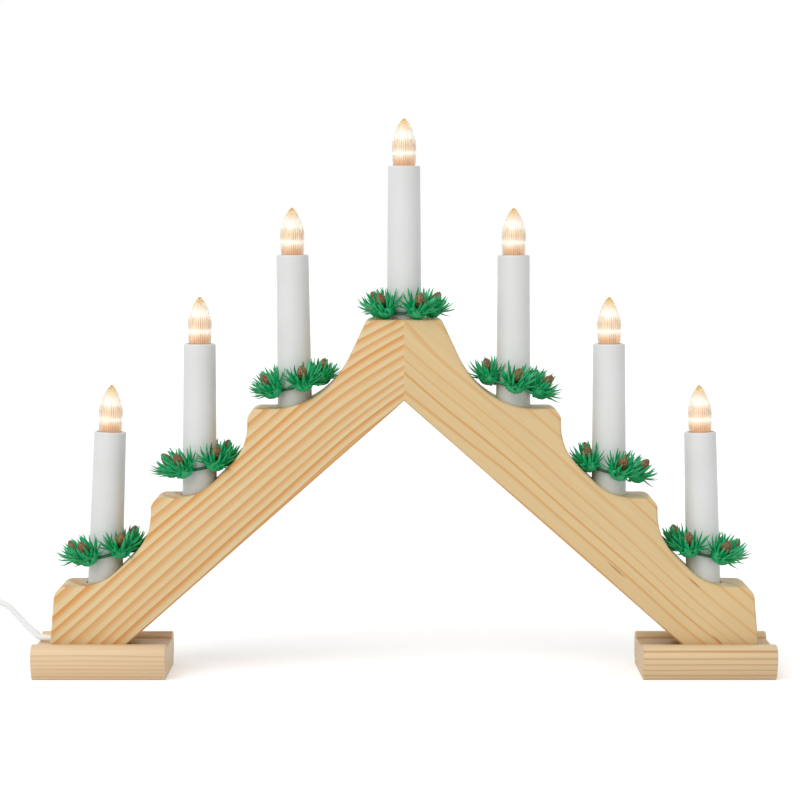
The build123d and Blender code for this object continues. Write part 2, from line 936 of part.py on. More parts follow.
def least_self_gap(path):
    """The least gap between turns, measured on points along the centre line."""
    step = cord_radius / 2
    count = ceil(path.length / step)
    points = [tuple(path @ (index / count)) for index in range(count + 1)]
    # Points closer than this along the tube are the same stretch, not a neighbouring turn
    apart = ceil(2 * coil_inner_radius / step)
    squares = [
        (a[0] - b[0]) ** 2 + (a[1] - b[1]) ** 2 + (a[2] - b[2]) ** 2
        for index, a in enumerate(points)
        for b in points[index + apart :]
    ]
    return min(squares) ** 0.5 - 2 * cord_radius


def cord_coil():
    path = coil_path()
    print("coil least gap to itself", round(least_self_gap(path), 2))
    return swept_cord(path, Rectangle(coil_cord_width, coil_cord_width), "coil")


def coil_tie():
    """A band round the coil's turns, at its back."""
    inner = coil_inner_radius - cord_radius - tie_clearance
    outer = coil_outer_radius + cord_radius + tie_clearance
    low = coil_base() - cord_radius - tie_clearance
    high = coil_base() + cord_pitch + cord_radius + tie_clearance
    opening = Box(tie_width + 2 * overrun, outer - inner, high - low)
    band = Box(tie_width, outer - inner + 2 * tie_thickness, high - low + 2 * tie_thickness)
    place = Pos(coil_centre_x, coil_centre_y + (inner + outer) / 2, (low + high) / 2)
    return place * (band - opening)


# Plug: drawn with its cord end at the origin and its pins towards -Y


def cut_rectangle(depth, width, thickness, corner):
    """A ring of points across the plug: a rectangle with its corners cut off."""
    across = width / 2
    up = thickness / 2
    quarter = [(across, up - corner), (across - corner, up)]
    mirrored = [(-x, z) for x, z in reversed(quarter)]
    top = quarter + mirrored
    outline = top + [(-x, -z) for x, z in top]
    return [(x, -depth, z) for x, z in outline]


def plug_body():
    waist = relief_length + plug_waist_length
    shell = faceted(
        [
            cut_rectangle(relief_length, plug_tail_width, plug_tail_thickness, plug_tail_corner),
            cut_rectangle(waist, plug_waist_width, plug_thickness, plug_corner),
            cut_rectangle(relief_length + plug_length, plug_width, plug_thickness, plug_corner),
        ]
    )
    relief = many_sided([(relief_tail_radius, 0), (relief_radius, relief_length)], relief_sides)
    return shell + Rot(90, 0, 0) * relief


def plug_pins():
    root = relief_length + plug_length
    end = root + pin_length
    shank = Cylinder(pin_radius, pin_length - pin_tip_round, align=(Align.CENTER, Align.CENTER, Align.MIN))
    tip = many_sided([(pin_radius, end - pin_tip_round), (pin_radius - pin_tip_round, end)], pin_sides)
    pin = Pos(0, 0, root) * shank + tip
    return [Pos(side * pin_spacing / 2, 0, 0) * Rot(90, 0, 0) * pin for side in (-1, 1)]


def plug_place():
    end = coil_point(2 * coil_half)
    return Pos(end.X, end.Y - coil_tail, end.Z)


def build_frame():
    leg = right_leg()
    save(leg, "right_leg")
    save(mirror(leg, Plane.YZ) - cord_hole(), "left_leg")
    foot = right_foot()
    save(foot, "right_foot")
    save(mirror(foot, Plane.YZ), "left_foot")
    strip = cover_strip()
    save(strip, "right_cover_strip")
    save(mirror(strip, Plane.YZ), "left_cover_strip")
    save(group(foot_screws()), "foot_screws")
    save(group(apex_keys(0)), "apex_keys")


def build_candles():
    shell = sleeve()
    cover = lamp_cover()
    tip = lamp_tip()
    carrier = hoop()
    sprigs = ring_sprigs()
    for station in station_numbers:
        place = candle_place(station)
        save(place * cover, f"lamp_cover_{station}")
        save(group(place * piece for piece in lamp_cap()), f"lamp_cap_{station}")
        save(place * tip, f"lamp_tip_{station}")
        save(ring_place(station) * carrier, f"hoop_{station}")
        save(group(ring_place(station) * piece for piece in sprigs), f"sprigs_{station}")
        save(group(ring_place(station) * piece for piece in ring_cones()), f"cones_{station}")
    save(group(candle_place(station) * shell for station in station_numbers), "candle_sleeves")
    holders = [candle_place(station) * piece for station in station_numbers for piece in lampholder()]
    save(group(holders), "lampholders")


def build_lead():
    save(group(series_wires()), "series_wires")
    save(cord_gland(), "cord_gland")
    save(free_cord(), "cord")
    save(cord_coil(), "cord_coil")
    save(coil_tie(), "coil_tie")
    save(plug_place() * plug_body(), "plug_body")
    save(group(plug_place() * pin for pin in plug_pins()), "plug_pins")


if __name__ == "__main__":
    os.makedirs("parts", exist_ok=True)
    build_frame()
    build_candles()
    build_lead()
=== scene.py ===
import bpy
import json
import random
from math import atan2, cos, pi, radians, sin
from mathutils import Matrix, Vector


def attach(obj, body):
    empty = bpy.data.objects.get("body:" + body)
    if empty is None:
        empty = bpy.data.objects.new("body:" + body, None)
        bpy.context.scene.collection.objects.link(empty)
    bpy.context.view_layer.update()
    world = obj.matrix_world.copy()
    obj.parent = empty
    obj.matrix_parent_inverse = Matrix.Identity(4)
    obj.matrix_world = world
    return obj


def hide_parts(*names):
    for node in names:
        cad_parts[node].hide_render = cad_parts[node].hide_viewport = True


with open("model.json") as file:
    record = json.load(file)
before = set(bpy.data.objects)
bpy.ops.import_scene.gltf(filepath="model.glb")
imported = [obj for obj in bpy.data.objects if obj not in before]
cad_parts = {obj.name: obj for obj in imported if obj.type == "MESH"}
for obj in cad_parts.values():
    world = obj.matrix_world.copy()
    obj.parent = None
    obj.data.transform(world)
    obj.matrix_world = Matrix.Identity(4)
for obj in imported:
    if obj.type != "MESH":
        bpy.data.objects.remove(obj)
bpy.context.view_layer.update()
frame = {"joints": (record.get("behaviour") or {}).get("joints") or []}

# %% [markdown]
# This lesson dresses a wooden candle arch: two pine legs on moulded feet, seven electric candles
# with clear flame lamps, rings of plastic fir sprigs with cones, and a white mains lead.
# The CAD model is already loaded as a fixed frame, in metres, so every size and place below is
# either read from it or repeated from its source. One millimetre is the handy unit for small parts.

# %% Sizes that every step uses
mm = 0.001
arch = "arch"
joints = {joint["name"]: joint for joint in frame["joints"]}
stations = [int(name.split("_")[1]) for name in joints if name.endswith("_turn")]


def candle_frame(station):
    """The matrix that stands a candle drawn upright at the origin in its socket."""
    joint = joints[f"lamp_{station}_turn"]
    axis = Vector(joint["axis"])
    return Matrix.Translation(joint["pos_m"]) @ Matrix.Rotation(atan2(axis.x, axis.z), 4, "Y")


# %% [markdown]
# The camera comes first, because it decides what has to look good. The photograph was taken from in
# front with a long lens, a little below the rim of the top candle, and looks down by less than five
# degrees. A tilted camera keeps the arch in the middle of every other view too, where a lens with a
# large shift would push it out of them. Its place was fitted to the feet, ledges and rims.

# %% Camera
camera_distance = 1.3733
camera_height = 0.2582
camera_tilt = 4.553
sensor = 36.0
pixels = 800
focal_pixels = 2546.3
middle_column = 404.14

lens = bpy.data.cameras.new("camera")
lens.sensor_width = sensor
lens.lens = sensor * focal_pixels / pixels
lens.shift_x = (pixels / 2 - middle_column) / pixels
camera = bpy.data.objects.new("camera", lens)
camera.location = (0, -camera_distance, camera_height)
camera.rotation_euler = (radians(90 - camera_tilt), 0, 0)
bpy.context.collection.objects.link(camera)
bpy.context.scene.camera = camera
print("lens", round(lens.lens, 1), "mm")

# %% [markdown]
# The lead is one smooth curve. It comes out of the end of the left leg, drops behind the foot and
# runs along the floor, where the rest of its length lies in a neat coil outside the picture.
# A NURBS curve bends like a real cable between a few given points. They keep within nine
# millimetres of the CAD lead and follow the line that the photographed one takes in the picture,
# where it sinks slowly behind the foot.

# %% Lead's route
cord_radius = 1.7
cord_route = [
    (-184.5, 0.0, 18.6),
    (-199.0, 0.3, 18.6),
    (-204.2, 28.6, 16.2),
    (-208.6, 54.1, 12.4),
    (-213.1, 77.2, 9.1),
    (-217.6, 100.0, 6.2),
    (-221.3, 118.0, 4.2),
    (-225.6, 136.0, 2.5),
    (-230.2, 153.0, 1.7),
    (-235.0, 168.5, 1.7),
    (-239.9, 185.0, 1.7),
    (-245.0, 202.0, 1.7),
    (-251.0, 220.0, 1.7),
    (-259.0, 235.0, 1.7),
    (-268.0, 247.0, 2.3),
    (-273.0, 260.0, 2.9),
    (-273.0, 273.0, 2.9),
]
print("route points", len(cord_route))

# %% [markdown]
# The rest of the lead lies in a coil of two layers. A loop works out its turns: they wind inwards,
# climb by one layer and wind out again, and a short straight tail leads to the plug. The curve takes
# the listed points first and then these.

# %% Coil and lead
coil_centre = (-300.0, 276.4)
coil_outer_radius = 27.0
coil_pitch = 4.0
turns_per_layer = 3.25
coil_floor = 2.9
climb_start = 3.0
climb_length = 0.5
points_per_turn = 18
coil_tail = 38.0


def coil_point(turns):
    """A point of the coil: it winds inwards, climbs by one layer and winds out again."""
    radius = coil_outer_radius - coil_pitch * (turns_per_layer - abs(turns_per_layer - turns))
    share = min(max((turns - climb_start) / climb_length, 0), 1)
    climb = coil_pitch * (1 - cos(pi * share)) / 2
    angle = 2 * pi * turns
    x = coil_centre[0] + radius * cos(angle)
    y = coil_centre[1] + radius * sin(angle)
    return (x, y, coil_floor + climb)


coil_steps = round(2 * turns_per_layer * points_per_turn)
coil_points = [coil_point(step / points_per_turn) for step in range(1, coil_steps + 1)]
coil_end = coil_points[-1]
plug_entry = (coil_end[0], coil_end[1] - coil_tail, coil_end[2])
lead_points = [*cord_route, *coil_points, plug_entry]

lead_curve = bpy.data.curves.new("lead", "CURVE")
lead_curve.dimensions = "3D"
lead_curve.bevel_depth = cord_radius * mm
lead_curve.bevel_resolution = 4
lead_curve.resolution_u = 5
lead_curve.use_fill_caps = True
spline = lead_curve.splines.new("NURBS")
spline.points.add(len(lead_points) - 1)
for point, place in zip(spline.points, lead_points):
    point.co = (place[0] * mm, place[1] * mm, place[2] * mm, 1)
spline.order_u = 3
spline.use_endpoint_u = True
lead = bpy.data.objects.new("lead", lead_curve)
bpy.context.collection.objects.link(lead)
print("lead points", len(lead_points))

# %% [markdown]
# The arch stands on a plain white floor in soft, even light, as in a catalogue picture. The floor,
# and later the world, add their white only where the camera, a reflection or a clear lamp looks at
# them, so the background is white and yet adds no light to the wood.

# %% Floor
floor_size = 14
floor_colour = 0.9
floor_lift = 0.3


def add_node(tree, kind, **settings):
    """A node with its settings, in the tree of a material, group or world."""
    node = tree.nodes.new(kind)
    for name, value in settings.items():
        setattr(node, name, value)
    return node


def looked_at(tree):
    """A value of 1 for rays of the camera, of reflections and of clear lamps."""
    path = add_node(tree, "ShaderNodeLightPath")
    first = add_node(tree, "ShaderNodeMath", operation="MAXIMUM")
    second = add_node(tree, "ShaderNodeMath", operation="MAXIMUM")
    tree.links.new(path.outputs["Is Camera Ray"], first.inputs[0])
    tree.links.new(path.outputs["Is Glossy Ray"], first.inputs[1])
    tree.links.new(first.outputs[0], second.inputs[0])
    tree.links.new(path.outputs["Is Transmission Ray"], second.inputs[1])
    return second.outputs[0]


bpy.ops.object.select_all(action="DESELECT")
bpy.ops.mesh.primitive_plane_add(size=floor_size, location=(0, 0, 0))
floor = bpy.context.object
floor.name = "floor"
floor_paint = bpy.data.materials.new("floor_paint")
floor_paint.use_nodes = True
tree = floor_paint.node_tree
paint = tree.nodes["Principled BSDF"]
paint.inputs["Base Color"].default_value = (floor_colour, floor_colour, floor_colour, 1)
paint.inputs["Roughness"].default_value = 1
paint.inputs["Specular IOR Level"].default_value = 0
paint.inputs["Emission Color"].default_value = (1, 1, 1, 1)
strength = add_node(tree, "ShaderNodeMath", operation="MULTIPLY")
strength.inputs[1].default_value = floor_lift
tree.links.new(looked_at(tree), strength.inputs[0])
tree.links.new(strength.outputs[0], paint.inputs["Emission Strength"])
floor.data.materials.append(floor_paint)
print("floor", floor_size, "m wide")

# %% [markdown]
# The world is a pale room that fills the shadows. The sun stands at the upper left and is as wide as
# a large soft lamp, so it makes the candles a little darker on their right without a hard edge. The
# Standard view then shows each colour about as it is written.

# %% World and sun
world_level = 0.62
sun_level = 1.45
sun_width = 50
sun_lean = 46
sun_turn = -32

world = bpy.data.worlds.new("pale_room")
bpy.context.scene.world = world
world.use_nodes = True
tree = world.node_tree
background = tree.nodes["Background"]
background.inputs["Color"].default_value = (1, 1, 1, 1)
level = add_node(tree, "ShaderNodeMapRange")
level.inputs["To Min"].default_value = world_level
level.inputs["To Max"].default_value = 1
tree.links.new(looked_at(tree), level.inputs["Value"])
tree.links.new(level.outputs["Result"], background.inputs["Strength"])

sun_lamp = bpy.data.lights.new("sun", "SUN")
sun_lamp.energy = sun_level
sun_lamp.angle = radians(sun_width)
sun = bpy.data.objects.new("sun", sun_lamp)
sun.rotation_euler = (radians(sun_lean), 0, radians(sun_turn))
bpy.context.collection.objects.link(sun)
bpy.context.scene.view_settings.view_transform = "Standard"
print("world", world_level, "sun", sun_level)

# %% [markdown]
# Colours are written as they look on a screen, in six hex digits, and turned into the linear
# values that a renderer adds up. One small helper starts each material, and two more build a shader
# group and place it, so that an effect is made once and used with other values in each material.

# %% Colours, materials and groups
def linear(channel):
    return channel / 12.92 if channel <= 0.04045 else ((channel + 0.055) / 1.055) ** 2.4


def colour(digits):
    """A screen colour such as E2C799 as a linear colour with alpha."""
    channels = [int(digits[start:start + 2], 16) / 255 for start in (0, 2, 4)]
    return (*[linear(channel) for channel in channels], 1)


def new_finish(name, roughness, metallic=0.0):
    """A material with one Principled shader."""
    material = bpy.data.materials.new(name)
    material.use_nodes = True
    tree = material.node_tree
    shader = tree.nodes["Principled BSDF"]
    shader.inputs["Roughness"].default_value = roughness
    shader.inputs["Metallic"].default_value = metallic
    return material, tree, shader


def object_places(tree):
    """The place of each point on the finished model, in metres."""
    return add_node(tree, "ShaderNodeTexCoord").outputs["Object"]


def new_group(name, inputs, outputs):
    """A shader node group with the outputs of its input node and the inputs of its output node."""
    group = bpy.data.node_groups.new(name, "ShaderNodeTree")
    kinds = {tuple: "NodeSocketColor", float: "NodeSocketFloat", str: "NodeSocketVector"}
    for way, sockets in (("INPUT", inputs), ("OUTPUT", outputs)):
        for label, default in sockets.items():
            socket = group.interface.new_socket(label, in_out=way, socket_type=kinds[type(default)])
            if not isinstance(default, str):
                socket.default_value = default
    given = add_node(group, "NodeGroupInput")
    result = add_node(group, "NodeGroupOutput")
    return group, given.outputs, result.inputs


def use_group(tree, group, values):
    """A group's node in a material, with its own values."""
    node = add_node(tree, "ShaderNodeGroup", node_tree=group)
    for label, value in values.items():
        node.inputs[label].default_value = value
    return node


print("pine tone", [round(channel, 2) for channel in colour("E1CA9C")])

# %% [markdown]
# The same few nodes come back in every finish: a sum, a mix of two colours, stretched noise, an
# eased range and a bump. Each has a helper that takes numbers and sockets alike, so that a pattern
# can be read like a formula.

# %% Wiring helpers
def feed(tree, slots, values):
    """Give each input slot its value: a constant, or another node's socket."""
    for slot, value in zip(slots, values):
        if isinstance(value, (int, float, tuple)):
            slot.default_value = value
        else:
            tree.links.new(value, slot)


def maths(tree, operation, *operands):
    """One sum: each operand is a socket or a number."""
    node = add_node(tree, "ShaderNodeMath", operation=operation)
    feed(tree, node.inputs, operands)
    return node.outputs[0]


def blend_colours(tree, share, first, second, mode="MIX"):
    """Two colours mixed by a share: each is a socket or a value."""
    node = add_node(tree, "ShaderNodeMix", data_type="RGBA", blend_type=mode)
    feed(tree, (node.inputs[0], node.inputs[6], node.inputs[7]), (share, first, second))
    return node.outputs[2]


def stretched_noise(tree, places, scale, detail=2.0):
    """Noise on coordinates that are stretched by a scale for each axis."""
    stretch = add_node(tree, "ShaderNodeVectorMath", operation="MULTIPLY")
    stretch.inputs[1].default_value = scale
    tree.links.new(places, stretch.inputs[0])
    noise = add_node(tree, "ShaderNodeTexNoise")
    noise.inputs["Scale"].default_value = 1
    noise.inputs["Detail"].default_value = detail
    tree.links.new(stretch.outputs[0], noise.inputs["Vector"])
    return noise.outputs["Fac"]


def smooth_range(tree, value, low, high, to_low=0.0, to_high=1.0):
    """A value eased from one range to another."""
    node = add_node(tree, "ShaderNodeMapRange", interpolation_type="SMOOTHSTEP")
    feed(tree, node.inputs, (value, low, high, to_low, to_high))
    return node.outputs[0]


def add_bump(tree, shader, height, distance, strength=1.0):
    """A height wired to the shader's normal."""
    bump = add_node(tree, "ShaderNodeBump")
    bump.inputs["Distance"].default_value = distance
    bump.inputs["Strength"].default_value = strength
    tree.links.new(height, bump.inputs["Height"])
    tree.links.new(bump.outputs["Normal"], shader.inputs["Normal"])


print("wiring helpers ready")

# %% [markdown]
# Pine shows its yearly rings as bands: pale early wood that darkens to orange late wood and stops
# at a sharp edge. A flat picture of planks would not wrap round the coves and the end grain, so the
# rings are drawn in space: they are tubes round a pith that runs along the board, and each face of
# the piece cuts them as a saw would. The same group serves every board, each with its own values.

# %% Yearly rings
wander_scale = (7, 8, 26)
uneven_scale = (1, 7, 45)
uneven_rings = 1.6
first_ring = 40.0


def ring_count(group, given):
    """How many yearly rings lie inside each point, with a fan, a bend and uneven widths."""
    along = given["Along"]
    split = add_node(group, "ShaderNodeSeparateXYZ")
    group.links.new(along, split.inputs[0])
    length, depth, across = split.outputs
    past = maths(group, "MAXIMUM", maths(group, "SUBTRACT", length, given["Bend Start"]), 0.0)
    past_square = maths(group, "MULTIPLY", past, past)
    across = maths(group, "MULTIPLY_ADD", past_square, given["Bend"], across)
    squares = maths(group, "MULTIPLY_ADD", across, across, maths(group, "MULTIPLY", depth, depth))
    distance = maths(group, "SUBTRACT", maths(group, "SQRT", squares), given["Middle"])
    fan = maths(group, "MULTIPLY_ADD", length, given["Fan"], 1.0)
    wander = maths(group, "SUBTRACT", stretched_noise(group, along, wander_scale, 1.5), 0.5)
    wander = maths(group, "MULTIPLY", wander, given["Wander"])
    distance = maths(group, "MULTIPLY_ADD", distance, fan, wander)
    rings = maths(group, "DIVIDE", distance, given["Spacing"])
    uneven = maths(group, "SUBTRACT", stretched_noise(group, along, uneven_scale, 0.0), 0.5)
    rings = maths(group, "MULTIPLY_ADD", uneven, uneven_rings, rings)
    return maths(group, "ADD", rings, first_ring)


print("wander", wander_scale, "uneven", uneven_scale)

# %% [markdown]
# Within a ring the wood darkens slowly, stays dark for a moment and ends at a fine dark line. A
# chance number for each ring, drawn from its count, makes some rings weaker than others. Long
# streaks and fine fibres along the grain finish the colour, and the fibres also give the relief.

# %% Pine grain group
black = (0.0, 0.0, 0.0, 1.0)
fibre_scale = (22, 1100, 1100)
streak_scale = (5, 160, 160)
line_start = 0.84
late_full = 0.86
late_end = 0.93
line_share = 0.4
streak_share = 0.12
fibre_share = 0.1
pine_inputs = {
    "Along": "",
    "Middle": 0.1,
    "Spacing": 0.004,
    "Wander": 0.003,
    "Fan": 0.0,
    "Bend": 0.0,
    "Bend Start": 0.06,
    "Late Share": 0.6,
    "Evenness": 0.65,
    "Early Wood": (0.8, 0.6, 0.4, 1.0),
    "Late Wood": (0.7, 0.4, 0.2, 1.0),
    "Edge Line": (0.5, 0.3, 0.12, 1.0),
}


def late_wood(group, given):
    """The share of late wood at each point, and the share of its dark edge line."""
    rings = ring_count(group, given)
    place = maths(group, "FRACT", rings)
    chance = add_node(group, "ShaderNodeTexWhiteNoise", noise_dimensions="1D")
    group.links.new(maths(group, "FLOOR", rings), chance.inputs["W"])
    uneven = maths(group, "SUBTRACT", 1.0, given["Evenness"])
    strength = maths(group, "MULTIPLY_ADD", chance.outputs["Value"], uneven, given["Evenness"])
    start = maths(group, "SUBTRACT", 1.0, given["Late Share"])
    fall = smooth_range(group, place, late_end, 1.0, 1.0, 0.0)
    strong_fall = maths(group, "MULTIPLY", fall, strength)
    late = maths(group, "MULTIPLY", smooth_range(group, place, start, late_full), strong_fall)
    line = maths(group, "MULTIPLY", smooth_range(group, place, line_start, late_end), strong_fall)
    return late, maths(group, "MULTIPLY", line, line_share)


def make_pine_group():
    group, given, result = new_group("pine_grain", pine_inputs, {"Colour": black, "Height": 0.0})
    early_colour, late_colour = given["Early Wood"], given["Late Wood"]
    late, line = late_wood(group, given)
    fibres = stretched_noise(group, given["Along"], fibre_scale, 3.0)
    streaks = stretched_noise(group, given["Along"], streak_scale, 2.0)
    wood = blend_colours(group, late, early_colour, late_colour)
    wood = blend_colours(group, line, wood, given["Edge Line"])
    darker = smooth_range(group, streaks, 0.35, 0.75, 0.0, streak_share)
    wood = blend_colours(group, darker, wood, late_colour)
    fine = smooth_range(group, fibres, 0.3, 0.8, 0.0, fibre_share)
    soaked = blend_colours(group, 1.0, wood, late_colour, "MULTIPLY")
    group.links.new(blend_colours(group, fine, wood, soaked), result["Colour"])
    ridges = maths(group, "MULTIPLY", late, 0.5)
    group.links.new(maths(group, "MULTIPLY_ADD", fibres, 0.5, ridges), result["Height"])
    return group


pine_grain = make_pine_group()
print("grain group sockets", len(pine_grain.interface.items_tree))

# %% [markdown]
# The grain of a board runs along it, so the pattern is turned to the board's slope and shifted until
# the pith lies beside it, as in a plank sawn from the side of a log. A matt lacquer covers the wood.
# A resin streak is a small brown ellipse on the front, drawn out along the grain, and is given as its
# place in x and z, its length and its width.

# %% Board finish
matt_lacquer = 0.46
lacquer_specular = 0.35
grain_depth = 0.12
grain_bump = 0.5
board_front = -17
streak_depth = 6
streak_strength = 0.75


def board(name, slope, pith, values, streaks=()):
    """A pine material whose grain runs up a slope, with its pith at a place beside it."""
    material, tree, shader = new_finish(name, matt_lacquer)
    places = object_places(tree)
    shader.inputs["Specular IOR Level"].default_value = lacquer_specular
    turn = add_node(tree, "ShaderNodeMapping")
    turn.inputs["Rotation"].default_value = (0, slope, 0)
    turn.inputs["Location"].default_value = (0, -pith[0] * mm, -pith[1] * mm)
    tree.links.new(places, turn.inputs["Vector"])
    grain = use_group(tree, pine_grain, values)
    tree.links.new(turn.outputs[0], grain.inputs["Along"])
    wood = grain.outputs["Colour"]
    for x, z, length, width in streaks:
        wood = resin_streak(tree, places, wood, slope, (x, z), (length, width))
    tree.links.new(wood, shader.inputs["Base Color"])
    add_bump(tree, shader, grain.outputs["Height"], grain_depth * mm, grain_bump)
    return material


def resin_streak(tree, places, wood, slope, place, size):
    """A small brown fleck along the grain, on the front of the board."""
    shift = add_node(tree, "ShaderNodeVectorMath", operation="SUBTRACT")
    shift.inputs[1].default_value = (place[0] * mm, board_front * mm, place[1] * mm)
    tree.links.new(places, shift.inputs[0])
    turn = add_node(tree, "ShaderNodeMapping")
    turn.inputs["Rotation"].default_value = (0, slope, 0)
    tree.links.new(shift.outputs[0], turn.inputs["Vector"])
    shrink = add_node(tree, "ShaderNodeVectorMath", operation="DIVIDE")
    shrink.inputs[1].default_value = (size[0] * mm, streak_depth * mm, size[1] * mm)
    tree.links.new(turn.outputs[0], shrink.inputs[0])
    reach = add_node(tree, "ShaderNodeVectorMath", operation="LENGTH")
    tree.links.new(shrink.outputs[0], reach.inputs[0])
    mask = smooth_range(tree, reach.outputs["Value"], 0.3, 1.0, streak_strength, 0.0)
    return blend_colours(tree, mask, wood, colour("98562C"))


print("lacquer roughness", matt_lacquer, "grain relief", grain_depth, "mm")

# %% [markdown]
# Each board now gets its own cut of the same wood. The left leg has strong orange bands that follow
# the slope and flatten towards the apex. The right leg is paler, with thin lines and three small
# resin streaks. The feet's grain runs level, fine on the left one and clearer on the right one.
# In metres, Spacing is the width of a ring and Middle the way from the pith to the board's middle.

# %% Four boards
leg_slope = radians(41.4)


def wood_colours(early, late, line):
    return {"Early Wood": colour(early), "Late Wood": colour(late), "Edge Line": colour(line)}


left_pine_cut = {
    "Middle": 0.118,
    "Spacing": 0.0047,
    "Wander": 0.005,
    "Fan": 1.0,
    "Bend": 1.5,
    "Bend Start": 0.05,
    "Late Share": 0.78,
    **wood_colours("E1CA9C", "D8974F", "BC7A3C"),
}
right_pine_cut = {
    "Middle": 0.08,
    "Spacing": 0.0066,
    "Wander": 0.011,
    "Fan": 0.9,
    "Late Share": 0.3,
    "Evenness": 0.3,
    **wood_colours("DABF8F", "D19C5A", "CB8E4E"),
}
left_foot_cut = {
    "Middle": 0.08,
    "Spacing": 0.0023,
    "Wander": 0.002,
    "Late Share": 0.4,
    "Evenness": 0.4,
    **wood_colours("E2C8A3", "D6AF84", "BE8F60"),
}
right_foot_cut = {
    "Spacing": 0.0035,
    "Wander": 0.0022,
    "Late Share": 0.42,
    "Evenness": 0.5,
    **wood_colours("DAC19A", "C39864", "A37846"),
}
right_leg_streaks = [
    (114.1, 58.5, 8.5, 0.55),
    (156.1, 51.5, 6.0, 0.5),
    (168.5, 20.8, 5.5, 0.5),
]
left_pine = board("left_pine", leg_slope, (26, 20), left_pine_cut)
right_pine = board("right_pine", -leg_slope, (-30, 60), right_pine_cut, right_leg_streaks)
left_foot_pine = board("left_foot_pine", 0.0, (40, -60), left_foot_cut)
right_foot_pine = board("right_foot_pine", 0.0, (10, -90), right_foot_cut)
print("resin streaks on the right leg", len(right_leg_streaks))

# %% [markdown]
# The rest of the arch is moulded plastic, pressed metal and thin board. Real mouldings are never
# one flat tone: they show soft patches and a fine ripple. One group gives all of them that skin, with
# the size and strength of its patches as inputs.

# %% Moulded plastic group
skin_outputs = {"Colour": black, "Roughness": 0.0, "Height": 0.0}
plastic_inputs = {
    "Place": "",
    "Colour": (0.8, 0.8, 0.8, 1.0),
    "Patch Colour": (0.7, 0.7, 0.7, 1.0),
    "Patch Scale": 90.0,
    "Patch Share": 0.4,
    "Ripple Scale": 1500.0,
    "Plain Roughness": 0.4,
}


def scaled_noise(group, given, scale, detail):
    """Noise whose scale is a socket of the group."""
    noise = add_node(group, "ShaderNodeTexNoise")
    noise.inputs["Detail"].default_value = detail
    group.links.new(given["Place"], noise.inputs["Vector"])
    group.links.new(given[scale], noise.inputs["Scale"])
    return noise.outputs["Fac"]


def link_skin(group, result, shade, roughness, height):
    for label, value in (("Colour", shade), ("Roughness", roughness), ("Height", height)):
        group.links.new(value, result[label])


def make_plastic_group():
    group, given, result = new_group("moulded_plastic", plastic_inputs, skin_outputs)
    share = smooth_range(group, scaled_noise(group, given, "Patch Scale", 3), 0.35, 0.7)
    painted = maths(group, "MULTIPLY", share, given["Patch Share"])
    shade = blend_colours(group, painted, given["Colour"], given["Patch Colour"])
    rougher = maths(group, "MULTIPLY", maths(group, "SUBTRACT", share, 0.5), 0.12)
    roughness = maths(group, "ADD", given["Plain Roughness"], rougher)
    link_skin(group, result, shade, roughness, scaled_noise(group, given, "Ripple Scale", 2))
    return group


moulded_plastic = make_plastic_group()
print("group", moulded_plastic.name)

# %% [markdown]
# Drawn and stamped metal has faint lines where it was worked, and it dulls in spots. The metal group
# stretches one noise level for the lines and uses another, unstretched, for the spots. Both groups
# have the same three outputs, so that one function makes a finish from either.

# %% Worn metal group
metal_inputs = {
    "Place": "",
    "Colour": (0.8, 0.8, 0.8, 1.0),
    "Dull Colour": (0.6, 0.6, 0.6, 1.0),
    "Line Scale": (0.15, 0.15, 1.0, 1.0),
    "Plain Roughness": 0.3,
}
line_scale = (3000, 3000, 3000)
spot_scale = (420, 420, 420)
skin_bump = 0.4


def make_metal_group():
    group, given, result = new_group("worn_metal", metal_inputs, skin_outputs)
    stretch = add_node(group, "ShaderNodeVectorMath", operation="MULTIPLY")
    feed(group, stretch.inputs, (given["Place"], given["Line Scale"]))
    lines = stretched_noise(group, stretch.outputs[0], line_scale, 2.0)
    spots = stretched_noise(group, given["Place"], spot_scale, 3.0)
    dull = smooth_range(group, spots, 0.45, 0.75, 0.0, 0.7)
    shade = blend_colours(group, dull, given["Colour"], given["Dull Colour"])
    rougher = maths(group, "MULTIPLY_ADD", dull, 0.2, maths(group, "MULTIPLY", lines, 0.1))
    link_skin(group, result, shade, maths(group, "ADD", given["Plain Roughness"], rougher), lines)
    return group


def wired_finish(name, group, values, depth, metallic=0.0):
    """A material whose colour, roughness and bump come from one group."""
    material, tree, shader = new_finish(name, values["Plain Roughness"], metallic)
    skin = use_group(tree, group, values)
    tree.links.new(object_places(tree), skin.inputs["Place"])
    tree.links.new(skin.outputs["Colour"], shader.inputs["Base Color"])
    tree.links.new(skin.outputs["Roughness"], shader.inputs["Roughness"])
    add_bump(tree, shader, skin.outputs["Height"], depth * mm, skin_bump)
    return material


worn_metal = make_metal_group()
print("group", worn_metal.name)

# %% [markdown]
# Every finish below is the same two groups with other values. The whites differ on purpose: the
# candle tubes are a satin off-white, the lead is a soft, paler white, and the moulded plug is
# glossier. The greens are a clear emerald for the sprigs and a much deeper one for the hoops.

# %% Plastics, metals and boards
metal_ripple = 0.01


def plastic(name, base, patch, roughness, scale=90, share=0.4, ripple=1500, depth=0.02):
    """A moulded skin: scale, share and ripple shape its patches and its fine waves."""
    values = {
        "Colour": colour(base),
        "Patch Colour": colour(patch),
        "Patch Scale": scale,
        "Patch Share": share,
        "Ripple Scale": ripple,
        "Plain Roughness": roughness,
    }
    return wired_finish(name, moulded_plastic, values, depth)


def metal(name, base, dull, roughness):
    values = {"Colour": colour(base), "Dull Colour": colour(dull), "Plain Roughness": roughness}
    return wired_finish(name, worn_metal, values, metal_ripple, 1.0)


